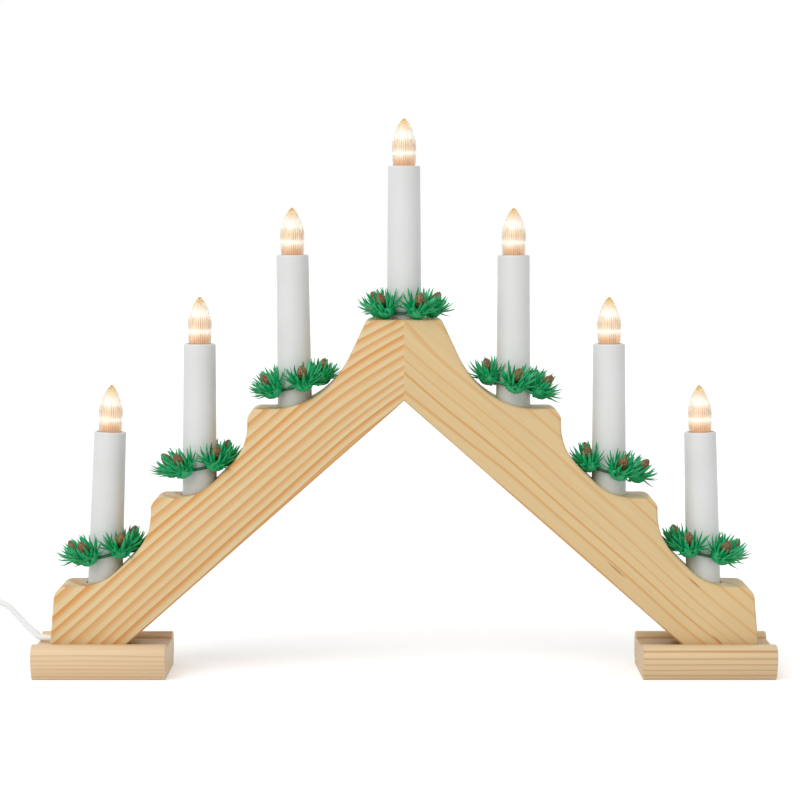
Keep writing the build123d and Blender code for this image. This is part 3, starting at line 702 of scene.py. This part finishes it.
candle_white = plastic("candle_white", "DCDDDC", "D4D4D2", 0.42, scale=45, ripple=500)
cord_white = plastic("cord_white", "E9E9E7", "E0E0DD", 0.45, scale=60, depth=0.004)
wire_white = plastic("wire_white", "E6E5E0", "D6D4CC", 0.4)
tie_white = plastic("tie_white", "DCDCD8", "CBCBC6", 0.35, ripple=900)
plug_white = plastic("plug_white", "EAEAE7", "E0E0DC", 0.3, scale=40, ripple=2200)
fir_green = plastic("fir_green", "00B36E", "008C54", 0.3, scale=260, share=0.7)
hoop_green = plastic("hoop_green", "06592F", "03401F", 0.38, scale=200)
hardboard = plastic("hardboard", "9A7650", "7C5B3A", 0.7, scale=300, share=0.8, depth=0.08)
beech = plastic("beech", "D3AE82", "BE9366", 0.6, scale=500, share=0.7, depth=0.05)
screw_steel = metal("screw_steel", "C9CBCC", "9A9C9E", 0.3)
contact_brass = metal("contact_brass", "D9B96A", "A88645", 0.28)
lamp_cap_metal = metal("lamp_cap", "CFCAB8", "A39C88", 0.28)
solder = metal("solder", "B9BABB", "8F9092", 0.45)
pin_nickel = metal("pin_nickel", "D8D6CF", "A9A69D", 0.16)
print("finishes", len(bpy.data.materials))

# %% [markdown]
# Some patterns follow a small piece rather than the arch: the flutes of a lamp turn with it, and the
# painted shadow in a cone's cup stays at the cone's own foot. Such a piece remembers where each of
# its points was while it still stood upright at the origin, in an attribute, and its material reads
# that attribute.

# %% Cone material
scale_density = 1150
tone_scale = (240, 240, 240)
cup_shadow = (1.6, 4.2)
cone_relief = 0.25


def own_places(tree):
    """The place of each point on the upright piece, in metres."""
    return add_node(tree, "ShaderNodeAttribute", attribute_name="own_place").outputs["Vector"]


def own_axes(tree):
    """The same place as its x, y and z."""
    split = add_node(tree, "ShaderNodeSeparateXYZ")
    tree.links.new(own_places(tree), split.inputs[0])
    return split.outputs


def make_cone_brown():
    material, tree, shader = new_finish("cone_brown", 0.5)
    places = object_places(tree)
    cells = add_node(tree, "ShaderNodeTexVoronoi")
    cells.inputs["Scale"].default_value = scale_density
    tree.links.new(places, cells.inputs["Vector"])
    gaps = smooth_range(tree, cells.outputs["Distance"], 0.25, 0.75)
    tones = smooth_range(tree, stretched_noise(tree, places, tone_scale), 0.35, 0.65)
    body = blend_colours(tree, tones, colour("87683F"), colour("A08650"))
    scales = blend_colours(tree, gaps, body, colour("5A3C22"))
    low, high = (height * mm for height in cup_shadow)
    foot = smooth_range(tree, own_axes(tree)["Z"], low, high, 0.75, 0.0)
    brown = blend_colours(tree, foot, scales, colour("2E1C12"))
    tree.links.new(brown, shader.inputs["Base Color"])
    add_bump(tree, shader, maths(tree, "SUBTRACT", 1.0, gaps), cone_relief * mm, 0.8)
    return material


cone_brown = make_cone_brown()
print("cone relief", cone_relief, "mm")

# %% [markdown]
# A lit flame lamp of this kind is clear plastic with fine upright flutes inside. Its solid point
# looks golden, the light source throws two pale bands across the flutes, and the foot glows copper.
# Real refraction alone would need far finer geometry than a table piece deserves, so the cover is
# half clear and half painted with that light: its own heights and angles place the painted light
# bands and the fine brown lines.

# %% Flame bands and flutes
flute_patches = (420, 420, 60)
lower_band = 0.27
flute_line_share = 0.8
flame_bands = [
    (0.00, "E9CBAA"),
    (0.10, "EDD3B2"),
    (0.20, "F9F0E0"),
    (0.27, "FFFEFA"),
    (0.33, "F8EDDC"),
    (0.42, "F0DFC8"),
    (0.52, "F5EAD6"),
    (0.60, "FFFEFA"),
    (0.69, "FDF6EA"),
    (0.78, "F1E4D4"),
    (0.86, "ECD7AE"),
    (0.94, "E9C678"),
    (1.00, "DFBA78"),
]


def band_colour(tree, share):
    """The painted light bands at a share of the cover's height."""
    bands = add_node(tree, "ShaderNodeValToRGB")
    ramp = bands.color_ramp
    for place, digits in flame_bands[1:-1]:
        ramp.elements.new(place).color = colour(digits)
    ramp.elements[0].color = colour(flame_bands[0][1])
    ramp.elements[-1].color = colour(flame_bands[-1][1])
    tree.links.new(share, bands.inputs["Fac"])
    return bands.outputs["Color"]


def flute_lines(tree, share, wave):
    """The brown lines between the flutes: faint in the lower bright band, gone at the point."""
    patches = stretched_noise(tree, own_places(tree), flute_patches, 1.0)
    lines = smooth_range(tree, wave, 0.2, 0.95)
    from_band = maths(tree, "ABSOLUTE", maths(tree, "SUBTRACT", share, lower_band))
    fades = (
        smooth_range(tree, patches, 0.35, 0.65, 0.25, 1.0),
        smooth_range(tree, share, 0.5, 0.74, 1.0, 0.0),
        smooth_range(tree, from_band, 0.02, 0.07, 0.25, 1.0),
    )
    for fade in fades:
        lines = maths(tree, "MULTIPLY", lines, fade)
    return maths(tree, "MULTIPLY", lines, flute_line_share)


print("flame bands", len(flame_bands))

# %% [markdown]
# The cover lets part of the light through and gives back the rest in the painted colours of its
# light, with a faint glow of its own. Where its wall is seen on edge, a greyish brown shade is
# painted on it, standing in for the dark edge of any clear tube. The skin of the cavity glows from
# copper at the foot through white to a cool tone below the solid point.

# %% Flame cover and cavity glow
cover_height = 25.3
flute_count = 34
flute_depth = 0.08
clear_share = 0.68
cover_roughness = 0.07
cover_ior = 1.47
cover_glow = 0.12
edge_shade_share = 0.55
cavity_level = 0.35
copper_heights = (1, 7)
cool_heights = (15, 21)


def make_clear_cover():
    material, tree, shader = new_finish("clear_cover", cover_roughness)
    shader.inputs["IOR"].default_value = cover_ior
    shader.inputs["Transmission Weight"].default_value = clear_share
    shader.inputs["Emission Strength"].default_value = cover_glow
    x, y, z = own_axes(tree)
    height = add_node(tree, "ShaderNodeMapRange")
    height.inputs["From Max"].default_value = cover_height * mm
    tree.links.new(z, height.inputs["Value"])
    share = height.outputs["Result"]
    angle = maths(tree, "ARCTAN2", y, x)
    wave = maths(tree, "SINE", maths(tree, "MULTIPLY", angle, flute_count))
    lines = flute_lines(tree, share, wave)
    # painted light: the pale bands, the golden point and the copper foot are the light source's glow
    # painted into the colour
    flame = blend_colours(tree, lines, band_colour(tree, share), colour("A17450"))
    # painted shade: the wall is darkened greyish brown where it is seen on edge
    slant = add_node(tree, "ShaderNodeLayerWeight")
    slant.inputs["Blend"].default_value = 0.35
    rim = smooth_range(tree, slant.outputs["Facing"], 0.45, 1.0, 0.0, edge_shade_share)
    flame = blend_colours(tree, rim, flame, colour("B9A48E"))
    tree.links.new(flame, shader.inputs["Base Color"])
    tree.links.new(flame, shader.inputs["Emission Color"])
    add_bump(tree, shader, wave, flute_depth * mm, 0.5)
    return material


def make_cavity_glow():
    material, tree, shader = new_finish("cavity_glow", 0.6)
    height = own_axes(tree)["Z"]
    low = smooth_range(tree, height, copper_heights[0] * mm, copper_heights[1] * mm)
    glow = blend_colours(tree, low, colour("E6B888"), colour("FFF8EC"))
    high = smooth_range(tree, height, cool_heights[0] * mm, cool_heights[1] * mm)
    glow = blend_colours(tree, high, glow, colour("DCCBD6"))
    tree.links.new(glow, shader.inputs["Base Color"])
    tree.links.new(glow, shader.inputs["Emission Color"])
    shader.inputs["Emission Strength"].default_value = cavity_level
    return material


clear_cover = make_clear_cover()
cavity_glow = make_cavity_glow()
print("flutes", flute_count, "clear share", clear_share)

# %% [markdown]
# The CAD solids whose shape is already right stay as they are and only get a finish: the cover
# strips and keys of the arch, its wires and lampholders, the screws, the tie and the plug.

# %% Finishes for the CAD parts that stay
def finish_node(node, material):
    piece = bpy.data.objects[node]
    if not piece.material_slots:
        piece.data.materials.append(material)
    for place in piece.material_slots:
        place.material = material


plain_nodes = {
    "left_leg": left_pine,
    "right_leg": right_pine,
    "left_foot": left_foot_pine,
    "right_foot": right_foot_pine,
    "left_cover_strip": hardboard,
    "right_cover_strip": hardboard,
    "apex_keys": beech,
    "foot_screws": screw_steel,
    "lampholders": contact_brass,
    "series_wires": wire_white,
    "cord_gland": cord_white,
    "cord": cord_white,
    "cord_coil": cord_white,
    "coil_tie": tie_white,
    "plug_body": plug_white,
    "plug_pins": pin_nickel,
    "candle_sleeves": candle_white,
}
for station in stations:
    plain_nodes[f"lamp_tip_{station}"] = solder
    plain_nodes[f"lamp_cap_{station}"] = lamp_cap_metal
    plain_nodes[f"lamp_cover_{station}"] = clear_cover
    plain_nodes[f"hoop_{station}"] = hoop_green
    plain_nodes[f"sprigs_{station}"] = fir_green
    plain_nodes[f"cones_{station}"] = cone_brown
for node, material in plain_nodes.items():
    finish_node(node, material)
print("dressed nodes", len(plain_nodes))

# %% [markdown]
# The lead gets the white finish of the cord and rides on the arch. It takes the place of both CAD
# lengths of lead, which are hidden.

# %% The lead in place of the CAD lead
lead_curve.materials.append(cord_white)
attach(lead, arch)
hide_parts("cord", "cord_coil")
tuple(value * mm for value in cord_route[0])

# %% [markdown]
# The wooden edges are lightly sanded, and that small round catches the light along every ledge. The
# CAD solid keeps its sharp edges, so a copy of its mesh is welded, its flat faces are joined, and a
# bevel of less than a millimetre eases the edges between them.

# %% Eased wooden pieces
sanded_edge = 1.0
weld_reach = 0.01
flat_angle = 0.6
edge_angle = 35
shading_angle = 30


def deselect_all():
    bpy.ops.object.select_all(action="DESELECT")


def make_active(piece):
    deselect_all()
    piece.select_set(True)
    bpy.context.view_layer.objects.active = piece


def eased_copy(node, width):
    """A welded copy of a CAD solid with small round edges."""
    piece = bpy.data.objects.new(f"{node}_sanded", bpy.data.objects[node].data.copy())
    bpy.context.collection.objects.link(piece)
    make_active(piece)
    bpy.ops.object.mode_set(mode="EDIT")
    bpy.ops.mesh.select_all(action="SELECT")
    bpy.ops.mesh.remove_doubles(threshold=weld_reach * mm)
    bpy.ops.mesh.dissolve_limited(angle_limit=radians(flat_angle))
    bpy.ops.object.mode_set(mode="OBJECT")
    ease = piece.modifiers.new("ease", "BEVEL")
    ease.width = width * mm
    ease.segments = 2
    ease.limit_method = "ANGLE"
    ease.angle_limit = radians(edge_angle)
    ease.use_clamp_overlap = True
    bpy.ops.object.modifier_apply(modifier="ease")
    bpy.ops.object.shade_smooth_by_angle(angle=radians(shading_angle))
    return piece


wood_slots = {
    "left_leg": "left_pine",
    "right_leg": "right_pine",
    "left_foot": "left_foot_pine",
    "right_foot": "right_foot_pine",
}
for node, slot in wood_slots.items():
    sanded = eased_copy(node, sanded_edge)
    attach(sanded, arch)
    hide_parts(node)
    print(sanded.name, len(sanded.data.polygons), "faces")

# %% [markdown]
# The small round pieces are turned, as on a lathe. A single point is pulled along the outline of
# the piece by extruding it again and again, and the finished outline is spun once round the axis.
# The poles are welded and the faces are turned outwards before anything else is done to the mesh.

# %% Turning
pole_reach = 0.002


def drawn_line(name, outline):
    """A point pulled along an outline of (radius, height) in millimetres, left in edit mode."""
    deselect_all()
    bpy.ops.mesh.primitive_plane_add(size=mm, location=(0, 0, 0))
    piece = bpy.context.object
    piece.name = name
    piece.data.name = name
    bpy.ops.object.mode_set(mode="EDIT")
    bpy.ops.mesh.select_all(action="SELECT")
    bpy.ops.mesh.merge(type="CENTER")
    bpy.ops.transform.translate(value=(outline[0][0] * mm, 0, outline[0][1] * mm))
    for start, end in zip(outline, outline[1:]):
        step = ((end[0] - start[0]) * mm, 0, (end[1] - start[1]) * mm)
        bpy.ops.mesh.extrude_vertices_move(TRANSFORM_OT_translate={"value": step})
    return piece


def turned(name, outline, sides, smooth_angle=40):
    """A piece spun round the upright axis from an outline."""
    piece = drawn_line(name, outline)
    bpy.ops.mesh.select_all(action="SELECT")
    bpy.ops.mesh.spin(steps=sides, angle=2 * pi, center=(0, 0, 0), axis=(0, 0, 1))
    bpy.ops.mesh.select_all(action="SELECT")
    bpy.ops.mesh.remove_doubles(threshold=pole_reach * mm)
    bpy.ops.mesh.normals_make_consistent(inside=False)
    bpy.ops.object.mode_set(mode="OBJECT")
    bpy.ops.object.shade_smooth_by_angle(angle=radians(smooth_angle))
    return piece


print("turning helpers ready")

# %% [markdown]
# What repeats is modelled once, upright at the origin, and then copied. Every copy gets its own mesh,
# and that mesh is moved into place while the object stays at the origin, as the CAD solids do. Copies
# of one kind and one finish can be joined, so that a ring of sprigs stays a handful of pieces.

# %% Copying and joining
def remember_places(piece):
    """Keep each point's place on the upright piece, for materials that follow the piece."""
    store = piece.data.attributes.new("own_place", "FLOAT_VECTOR", "POINT")
    for point in piece.data.vertices:
        store.data[point.index].vector = point.co


def copy_of(master, name, matrix):
    """A copy with its own mesh, put in place within that mesh."""
    piece = bpy.data.objects.new(name, master.data.copy())
    piece.data.name = name
    piece.data.transform(matrix)
    bpy.context.collection.objects.link(piece)
    return piece


def joined(pieces, name):
    """Several pieces as one object."""
    make_active(pieces[0])
    for piece in pieces:
        piece.select_set(True)
    bpy.ops.object.join()
    pieces[0].name = name
    return pieces[0]


def place_copies(master, name, body, node, material):
    """One copy for each candle, riding on a body and standing for a node of that candle."""
    for station in stations:
        piece = copy_of(master, f"{name}_{station}", candle_frame(station))
        piece.data.materials.clear()
        piece.data.materials.append(material)
        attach(piece, body.format(station))
        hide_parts(node.format(station))
    bpy.data.objects.remove(master)


print("copying helpers ready")

# %% [markdown]
# A candle is a moulded plastic tube in the shape of a slim table candle. It tapers a little towards
# its rim, the rim is softly rounded, and the lamp stands in the open mouth. A web inside carries the
# lampholder. The outline goes up the outside, over the rim, down to the web and back to the foot.

# %% Candle tubes
socket_depth = 20.0
tube_length = 102.0
tube_foot_radius = 9.5
tube_rim_radius = 8.6
tube_bore_radius = 7.0
rim_round = 0.8
web_top = 83.5
web_thickness = 1.5
web_hole = 2.2
foot_ease = 0.4
mouth_ease = (0.25, 0.3)
tube_sides = 56


def rim_points():
    """The rounded outer edge of a candle's rim."""
    points = []
    for angle in (0, 22, 45, 68, 90):
        across = rim_round * (cos(radians(angle)) - 1)
        along = rim_round * (sin(radians(angle)) - 1)
        points.append((tube_rim_radius + across, tube_length + along))
    return points


tube_outline = [
    (tube_bore_radius, 0.0),
    (tube_foot_radius - foot_ease, 0.0),
    (tube_foot_radius, foot_ease),
    *rim_points(),
    (tube_bore_radius + mouth_ease[0], tube_length),
    (tube_bore_radius, tube_length - mouth_ease[1]),
    (tube_bore_radius, web_top),
    (web_hole, web_top),
    (web_hole, web_top - web_thickness),
    (tube_bore_radius, web_top - web_thickness),
    (tube_bore_radius, 0.0),
]
candle_tube = turned("candle_tube", tube_outline, tube_sides)
place_copies(candle_tube, "candle_tube", arch, "candle_sleeves", candle_white)
print("candle tubes", len(stations), "sides", tube_sides)

# %% [markdown]
# The flame cover is a clear hollow point. Its outline follows the CAD cover through the same widths,
# with a few points more for a fuller curve, and it ends in a small blunt tip. The outline then turns
# inwards and goes down the cavity, so that one spin makes both skins of the wall.

# %% Flame covers
skirt_low = -4.5
cover_sides = 48
cover_points = [
    (5.7, skirt_low),
    (5.9, -1.5),
    (6.05, 0.0),
    (6.3, 3.4),
    (6.48, 7.0),
    (6.55, 10.5),
    (6.34, 12.9),
    (5.83, 15.0),
    (5.05, 17.5),
    (4.06, 19.8),
    (3.02, 21.9),
    (1.97, 23.5),
    (0.95, 24.8),
    (0.45, 25.2),
    (0.0, 25.3),
]
wall_points = [
    (0.0, 22.4),
    (0.7, 21.6),
    (1.6, 19.6),
    (2.9, 17.0),
    (4.2, 14.2),
    (5.1, 11.5),
    (5.3, 9.0),
    (5.1, 4.0),
    (4.8, 0.0),
    (4.6, skirt_low),
]
cover_outline = [*cover_points, *wall_points, cover_points[0]]
cover = turned("flame_cover", cover_outline, cover_sides, 60)
remember_places(cover)
rim_lift = Matrix.Translation((0, 0, tube_length * mm))
cover.data.transform(rim_lift)
place_copies(cover, "flame_cover", "lamp_{}", "lamp_cover_{}", clear_cover)
print("flame covers", len(stations))

# %% [markdown]
# The light source is a small board in the cavity, far too bright to be seen itself. What shows is
# the light in the cavity, so a skin just inside its wall carries the glow. It stops below the thick
# solid point.

# %% Cavity glow
glow_foot = skirt_low + 0.2
glow_points = [
    (0.0, glow_foot),
    (3.6, glow_foot),
    (3.9, 0.0),
    (4.2, 4.0),
    (4.3, 9.0),
    (4.0, 11.5),
    (3.2, 14.2),
    (2.1, 17.0),
    (1.0, 19.4),
    (0.4, 20.6),
    (0.0, 21.0),
]
glow_sides = 24
glow = turned("cavity_glow", glow_points, glow_sides, 60)
remember_places(glow)
glow.data.transform(rim_lift)
place_copies(glow, "cavity_glow", "lamp_{}", "lamp_cap_{}", cavity_glow)
print("cavity glows", len(stations))

# %% [markdown]
# The lamp's screw cap is rolled from thin sheet, so its thread is a soft wave, not a cut ridge. The
# outline of one wave, swept up by the Screw modifier, gives the thread with its true pitch. The cap
# hides in the candle while the lamp is home, and its collar shows when the lamp is turned out.

# %% Screw caps
thread_pitch = 1.814
cap_radius = 4.6
cap_low = tube_length - 16.0
cap_high = tube_length - 6.0
collar_radius = 5.6
collar_height = 1.5
collar_ease = 0.3
thread_turns = 4
thread_steps = 24
cap_sides = 32
core_radius = 4.1
root_radius = 4.0
wave_radius = 4.35
thread_low = cap_low + 1.2

cap_outline = [
    (0.0, cap_low),
    (2.6, cap_low),
    (3.9, cap_low + 0.7),
    (core_radius, thread_low),
    (core_radius, cap_high - 0.6),
    (cap_radius, cap_high),
    (collar_radius - collar_ease, cap_high),
    (collar_radius, cap_high + collar_ease),
    (collar_radius, cap_high + collar_height),
    (0.0, cap_high + collar_height),
]
cap_body = turned("screw_cap", cap_outline, cap_sides)

thread_outline = [
    (root_radius, thread_low),
    (wave_radius, thread_low + 0.35),
    (cap_radius, thread_low + 0.85),
    (wave_radius, thread_low + 1.35),
    (root_radius, thread_low + 1.7),
]
thread = drawn_line("thread", thread_outline)
bpy.ops.object.mode_set(mode="OBJECT")
sweep = thread.modifiers.new("sweep", "SCREW")
sweep.axis = "Z"
sweep.angle = 2 * pi
sweep.screw_offset = thread_pitch * mm
sweep.iterations = thread_turns
sweep.steps = thread_steps
sweep.render_steps = thread_steps
bpy.ops.object.modifier_apply(modifier="sweep")
bpy.ops.object.shade_smooth_by_angle(angle=radians(60))
screw_cap = joined([cap_body, thread], "screw_cap")
place_copies(screw_cap, "screw_cap", "lamp_{}", "lamp_cap_{}", lamp_cap_metal)
print("screw caps", len(stations), "thread turns", thread_turns)

# %% [markdown]
# Each candle wears a ring of plastic fir: a thin dark hoop carries five tufts, and each tuft is a
# ribbed bowl from whose rim and flank the needles fan out, with a small cone standing in it. The
# hoop hangs a little tilted, as such rings do. The hoop and the bowl are turned, and the bowl gets
# its ribs by drawing every other row of points inwards.

# %% Hoop and bowl
ring_heights = (15.2, 15.0, 11.0, 3.3, 11.5, 13.3, 16.0)
ring_tilts = (15.0, 12.0, 13.0, 0.0, 15.0, 14.0, 14.0)
ring_turns = (-32.0, -31.0, 22.0, 28.0, 0.0, 16.0, 34.0)
ring_radius = 11.2
hoop_half = 0.8
hoop_flat = 0.5
tuft_count = 5
tuft_reach = 15.0
tuft_lift = 2.2
tuft_lean = 28.0
bowl_sides = 30
rib_low = -4.8
rib_shrink = 0.88
hoop_sides = 56

hoop_section = [
    (-hoop_half, -hoop_flat),
    (-hoop_flat, -hoop_half),
    (hoop_flat, -hoop_half),
    (hoop_half, -hoop_flat),
    (hoop_half, hoop_flat),
    (hoop_flat, hoop_half),
    (-hoop_flat, hoop_half),
    (-hoop_half, hoop_flat),
    (-hoop_half, -hoop_flat),
]
hoop_outline = [(ring_radius + across, along) for across, along in hoop_section]
hoop = turned("hoop", hoop_outline, hoop_sides)
bowl_outline = [
    (0.0, -5.2),
    (1.7, -5.1),
    (3.4, -4.4),
    (5.0, -3.1),
    (5.8, -1.3),
    (6.0, 0.9),
    (5.1, 1.7),
    (4.4, 0.8),
    (3.5, -1.0),
    (1.9, -2.3),
    (0.0, -2.6),
]
bowl = turned("bowl", bowl_outline, bowl_sides, 70)
for point in bowl.data.vertices:
    turn = round(atan2(point.co.y, point.co.x) * bowl_sides / (2 * pi))
    if turn % 2 and rib_low * mm < point.co.z:
        point.co.x *= rib_shrink
        point.co.y *= rib_shrink
print("bowl", len(bowl.data.polygons), "hoop", len(hoop.data.polygons))

# %% [markdown]
# A needle is a slim flat blade: wide at its root, with a faint curve and a fine point. It is drawn
# up from a small five-sided disc, a length at a time, and as there are over a thousand of them, it
# has only a few faces.

# %% Needle
needle_length = 9.0
needle_root = 1.25
needle_flatness = 0.5
needle_sides = 5
needle_stages = ((0.36, 0.82, 0.12), (0.34, 0.66, 0.35), (0.3, 0.26, 0.75))

deselect_all()
bpy.ops.mesh.primitive_circle_add(
    vertices=needle_sides, radius=needle_root * mm, fill_type="NGON", location=(0, 0, 0)
)
needle = bpy.context.object
bpy.ops.object.mode_set(mode="EDIT")
bpy.ops.mesh.select_all(action="SELECT")
bpy.ops.transform.resize(value=(1, needle_flatness, 1))
for length_share, width_share, drift in needle_stages:
    rise = {"value": (0, drift * mm, length_share * needle_length * mm)}
    bpy.ops.mesh.extrude_region_move(TRANSFORM_OT_translate=rise)
    bpy.ops.transform.resize(value=(width_share, width_share, 1))
bpy.ops.mesh.select_all(action="SELECT")
bpy.ops.mesh.normals_make_consistent(inside=False)
bpy.ops.object.mode_set(mode="OBJECT")
bpy.ops.object.shade_smooth_by_angle(angle=radians(80))
print("needle", len(needle.data.polygons), "faces")

# %% [markdown]
# A cone starts as a turned egg, and each of its faces is then raised to a point, which gives it rows
# of small scales. It stands in the bowl on a peg, of which only the knob shows, under the bowl.

# %% Cone
cone_sides = 14
scale_lift = 0.2
peg_sides = 10

cone_outline = [
    (0.0, 1.0),
    (1.0, 1.0),
    (1.3, 1.4),
    (2.0, 2.3),
    (2.5, 3.4),
    (2.75, 4.6),
    (2.7, 5.8),
    (2.45, 6.9),
    (2.0, 7.9),
    (1.4, 8.8),
    (0.7, 9.5),
    (0.0, 9.8),
]
fir_cone = turned("fir_cone", cone_outline, cone_sides, 20)
bpy.ops.object.mode_set(mode="EDIT")
bpy.ops.mesh.select_all(action="SELECT")
bpy.ops.mesh.poke(offset=scale_lift * mm)
bpy.ops.object.mode_set(mode="OBJECT")
peg_outline = [(0.0, -5.9), (0.5, -5.8), (0.8, -5.5), (0.8, -5.1), (0.5, -4.8), (0.0, -4.8)]
peg = turned("peg", peg_outline, peg_sides, 60)
fir_cone = joined([fir_cone, peg], "fir_cone")
remember_places(fir_cone)
print("cone", len(fir_cone.data.polygons), "faces")

# %% [markdown]
# The needles of one tuft fan out in four tiers, from nearly level at the bowl's rim to steep inside
# it. A tier is its count, root radius, root height, rise and size. Each needle is nudged by a seeded
# chance, so that no two tufts are alike, and one that would run into its own candle is left out.

# %% Places of rings, tufts and needles
needle_tiers = (
    (6, 5.2, -0.5, 9.0, 0.78),
    (12, 5.1, 0.3, 28.0, 0.9),
    (12, 4.8, 0.9, 47.0, 0.96),
    (8, 3.9, 0.4, 68.0, 0.98),
)
candle_gap = 0.7
needle_play = 9
shortest = 0.85
longest = 1.12


def ring_frame(station):
    """The matrix of a sprig ring on its candle."""
    joint = joints[f"lamp_{station}_turn"]
    side = 1 if joint["pos_m"][0] > mm else -1
    height = socket_depth + ring_heights[station - 1]
    lift = Matrix.Translation((0, 0, height * mm))
    tilt = Matrix.Rotation(radians(side * ring_tilts[station - 1]), 4, "Y")
    turn = Matrix.Rotation(radians(ring_turns[station - 1]), 4, "Z")
    return lift @ tilt @ turn


def tuft_frame(number):
    """The matrix of one tuft on its ring: its axis leans outwards."""
    spread = Matrix.Rotation(2 * pi * number / tuft_count, 4, "Z")
    shift = Matrix.Translation((0, -tuft_reach * mm, tuft_lift * mm))
    return spread @ shift @ Matrix.Rotation(radians(tuft_lean), 4, "X")


def clears_candle(place):
    """Whether a needle at this place, in its candle's frame, stays clear of the candle."""
    for share in (0.0, 0.5, 1.0):
        point = place @ Vector((0, share * mm, share * needle_length * mm))
        if Vector((point.x, point.y)).length < (tube_foot_radius + candle_gap) * mm:
            return False
    return True


def tuft_needles(chance):
    """The matrices of one tuft's needles, in the tuft's own frame."""
    for count, radius, height, rise, size in needle_tiers:
        first = chance.uniform(0, 360)
        for number in range(count):
            nudge = chance.uniform(-needle_play, needle_play)
            around = radians(first + 360 * number / count + nudge)
            lean = radians(90 - rise - chance.uniform(-needle_play, needle_play))
            stretch = size * chance.uniform(shortest, longest)
            turn = Matrix.Rotation(around, 4, "Z")
            root = Matrix.Translation((radius * mm, 0, height * mm))
            tip = Matrix.Rotation(lean, 4, "Y") @ Matrix.Rotation(radians(90), 4, "Z")
            yield turn @ root @ tip @ Matrix.Scale(stretch, 4)


print("needles in a full tuft", sum(count for count, *_ in needle_tiers))

# %% [markdown]
# Each ring is now put together. Five bowls, with their needles and cones, are copied round the hoop
# and joined by finish, so that a ring is three pieces. Its chance numbers are seeded with its
# station, so that the script makes the same ring each time it runs.

# %% Sprig rings
bowl_play = 24

needle_total = 0
for station in stations:
    chance = random.Random(station)
    candle = candle_frame(station)
    ring = ring_frame(station)
    parts = []
    cones = []
    for number in range(tuft_count):
        tuft = ring @ tuft_frame(number)
        spun = Matrix.Rotation(radians(chance.uniform(0, bowl_play)), 4, "Z")
        parts.append(copy_of(bowl, f"bowl_{station}_{number}", candle @ tuft @ spun))
        for place in tuft_needles(chance):
            if clears_candle(tuft @ place):
                parts.append(copy_of(needle, "needle", candle @ tuft @ place))
                needle_total += 1
        cones.append(copy_of(fir_cone, f"fir_cone_{station}_{number}", candle @ tuft @ spun))
    sprigs = joined(parts, f"sprig_ring_{station}_needles")
    cone_set = joined(cones, f"sprig_ring_{station}_cones")
    hoop_copy = copy_of(hoop, f"sprig_ring_{station}_hoop", candle @ ring)
    finishes = (
        (sprigs, "sprigs", fir_green, "fir_green"),
        (cone_set, "cones", cone_brown, "cone_brown"),
        (hoop_copy, "hoop", hoop_green, "hoop_green"),
    )
    for piece, node, material, slot in finishes:
        piece.data.materials.clear()
        piece.data.materials.append(material)
        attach(piece, f"sprig_ring_{station}")
        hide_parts(f"{node}_{station}")
for master in (needle, bowl, hoop, fir_cone):
    bpy.data.objects.remove(master)
print("needles", needle_total)
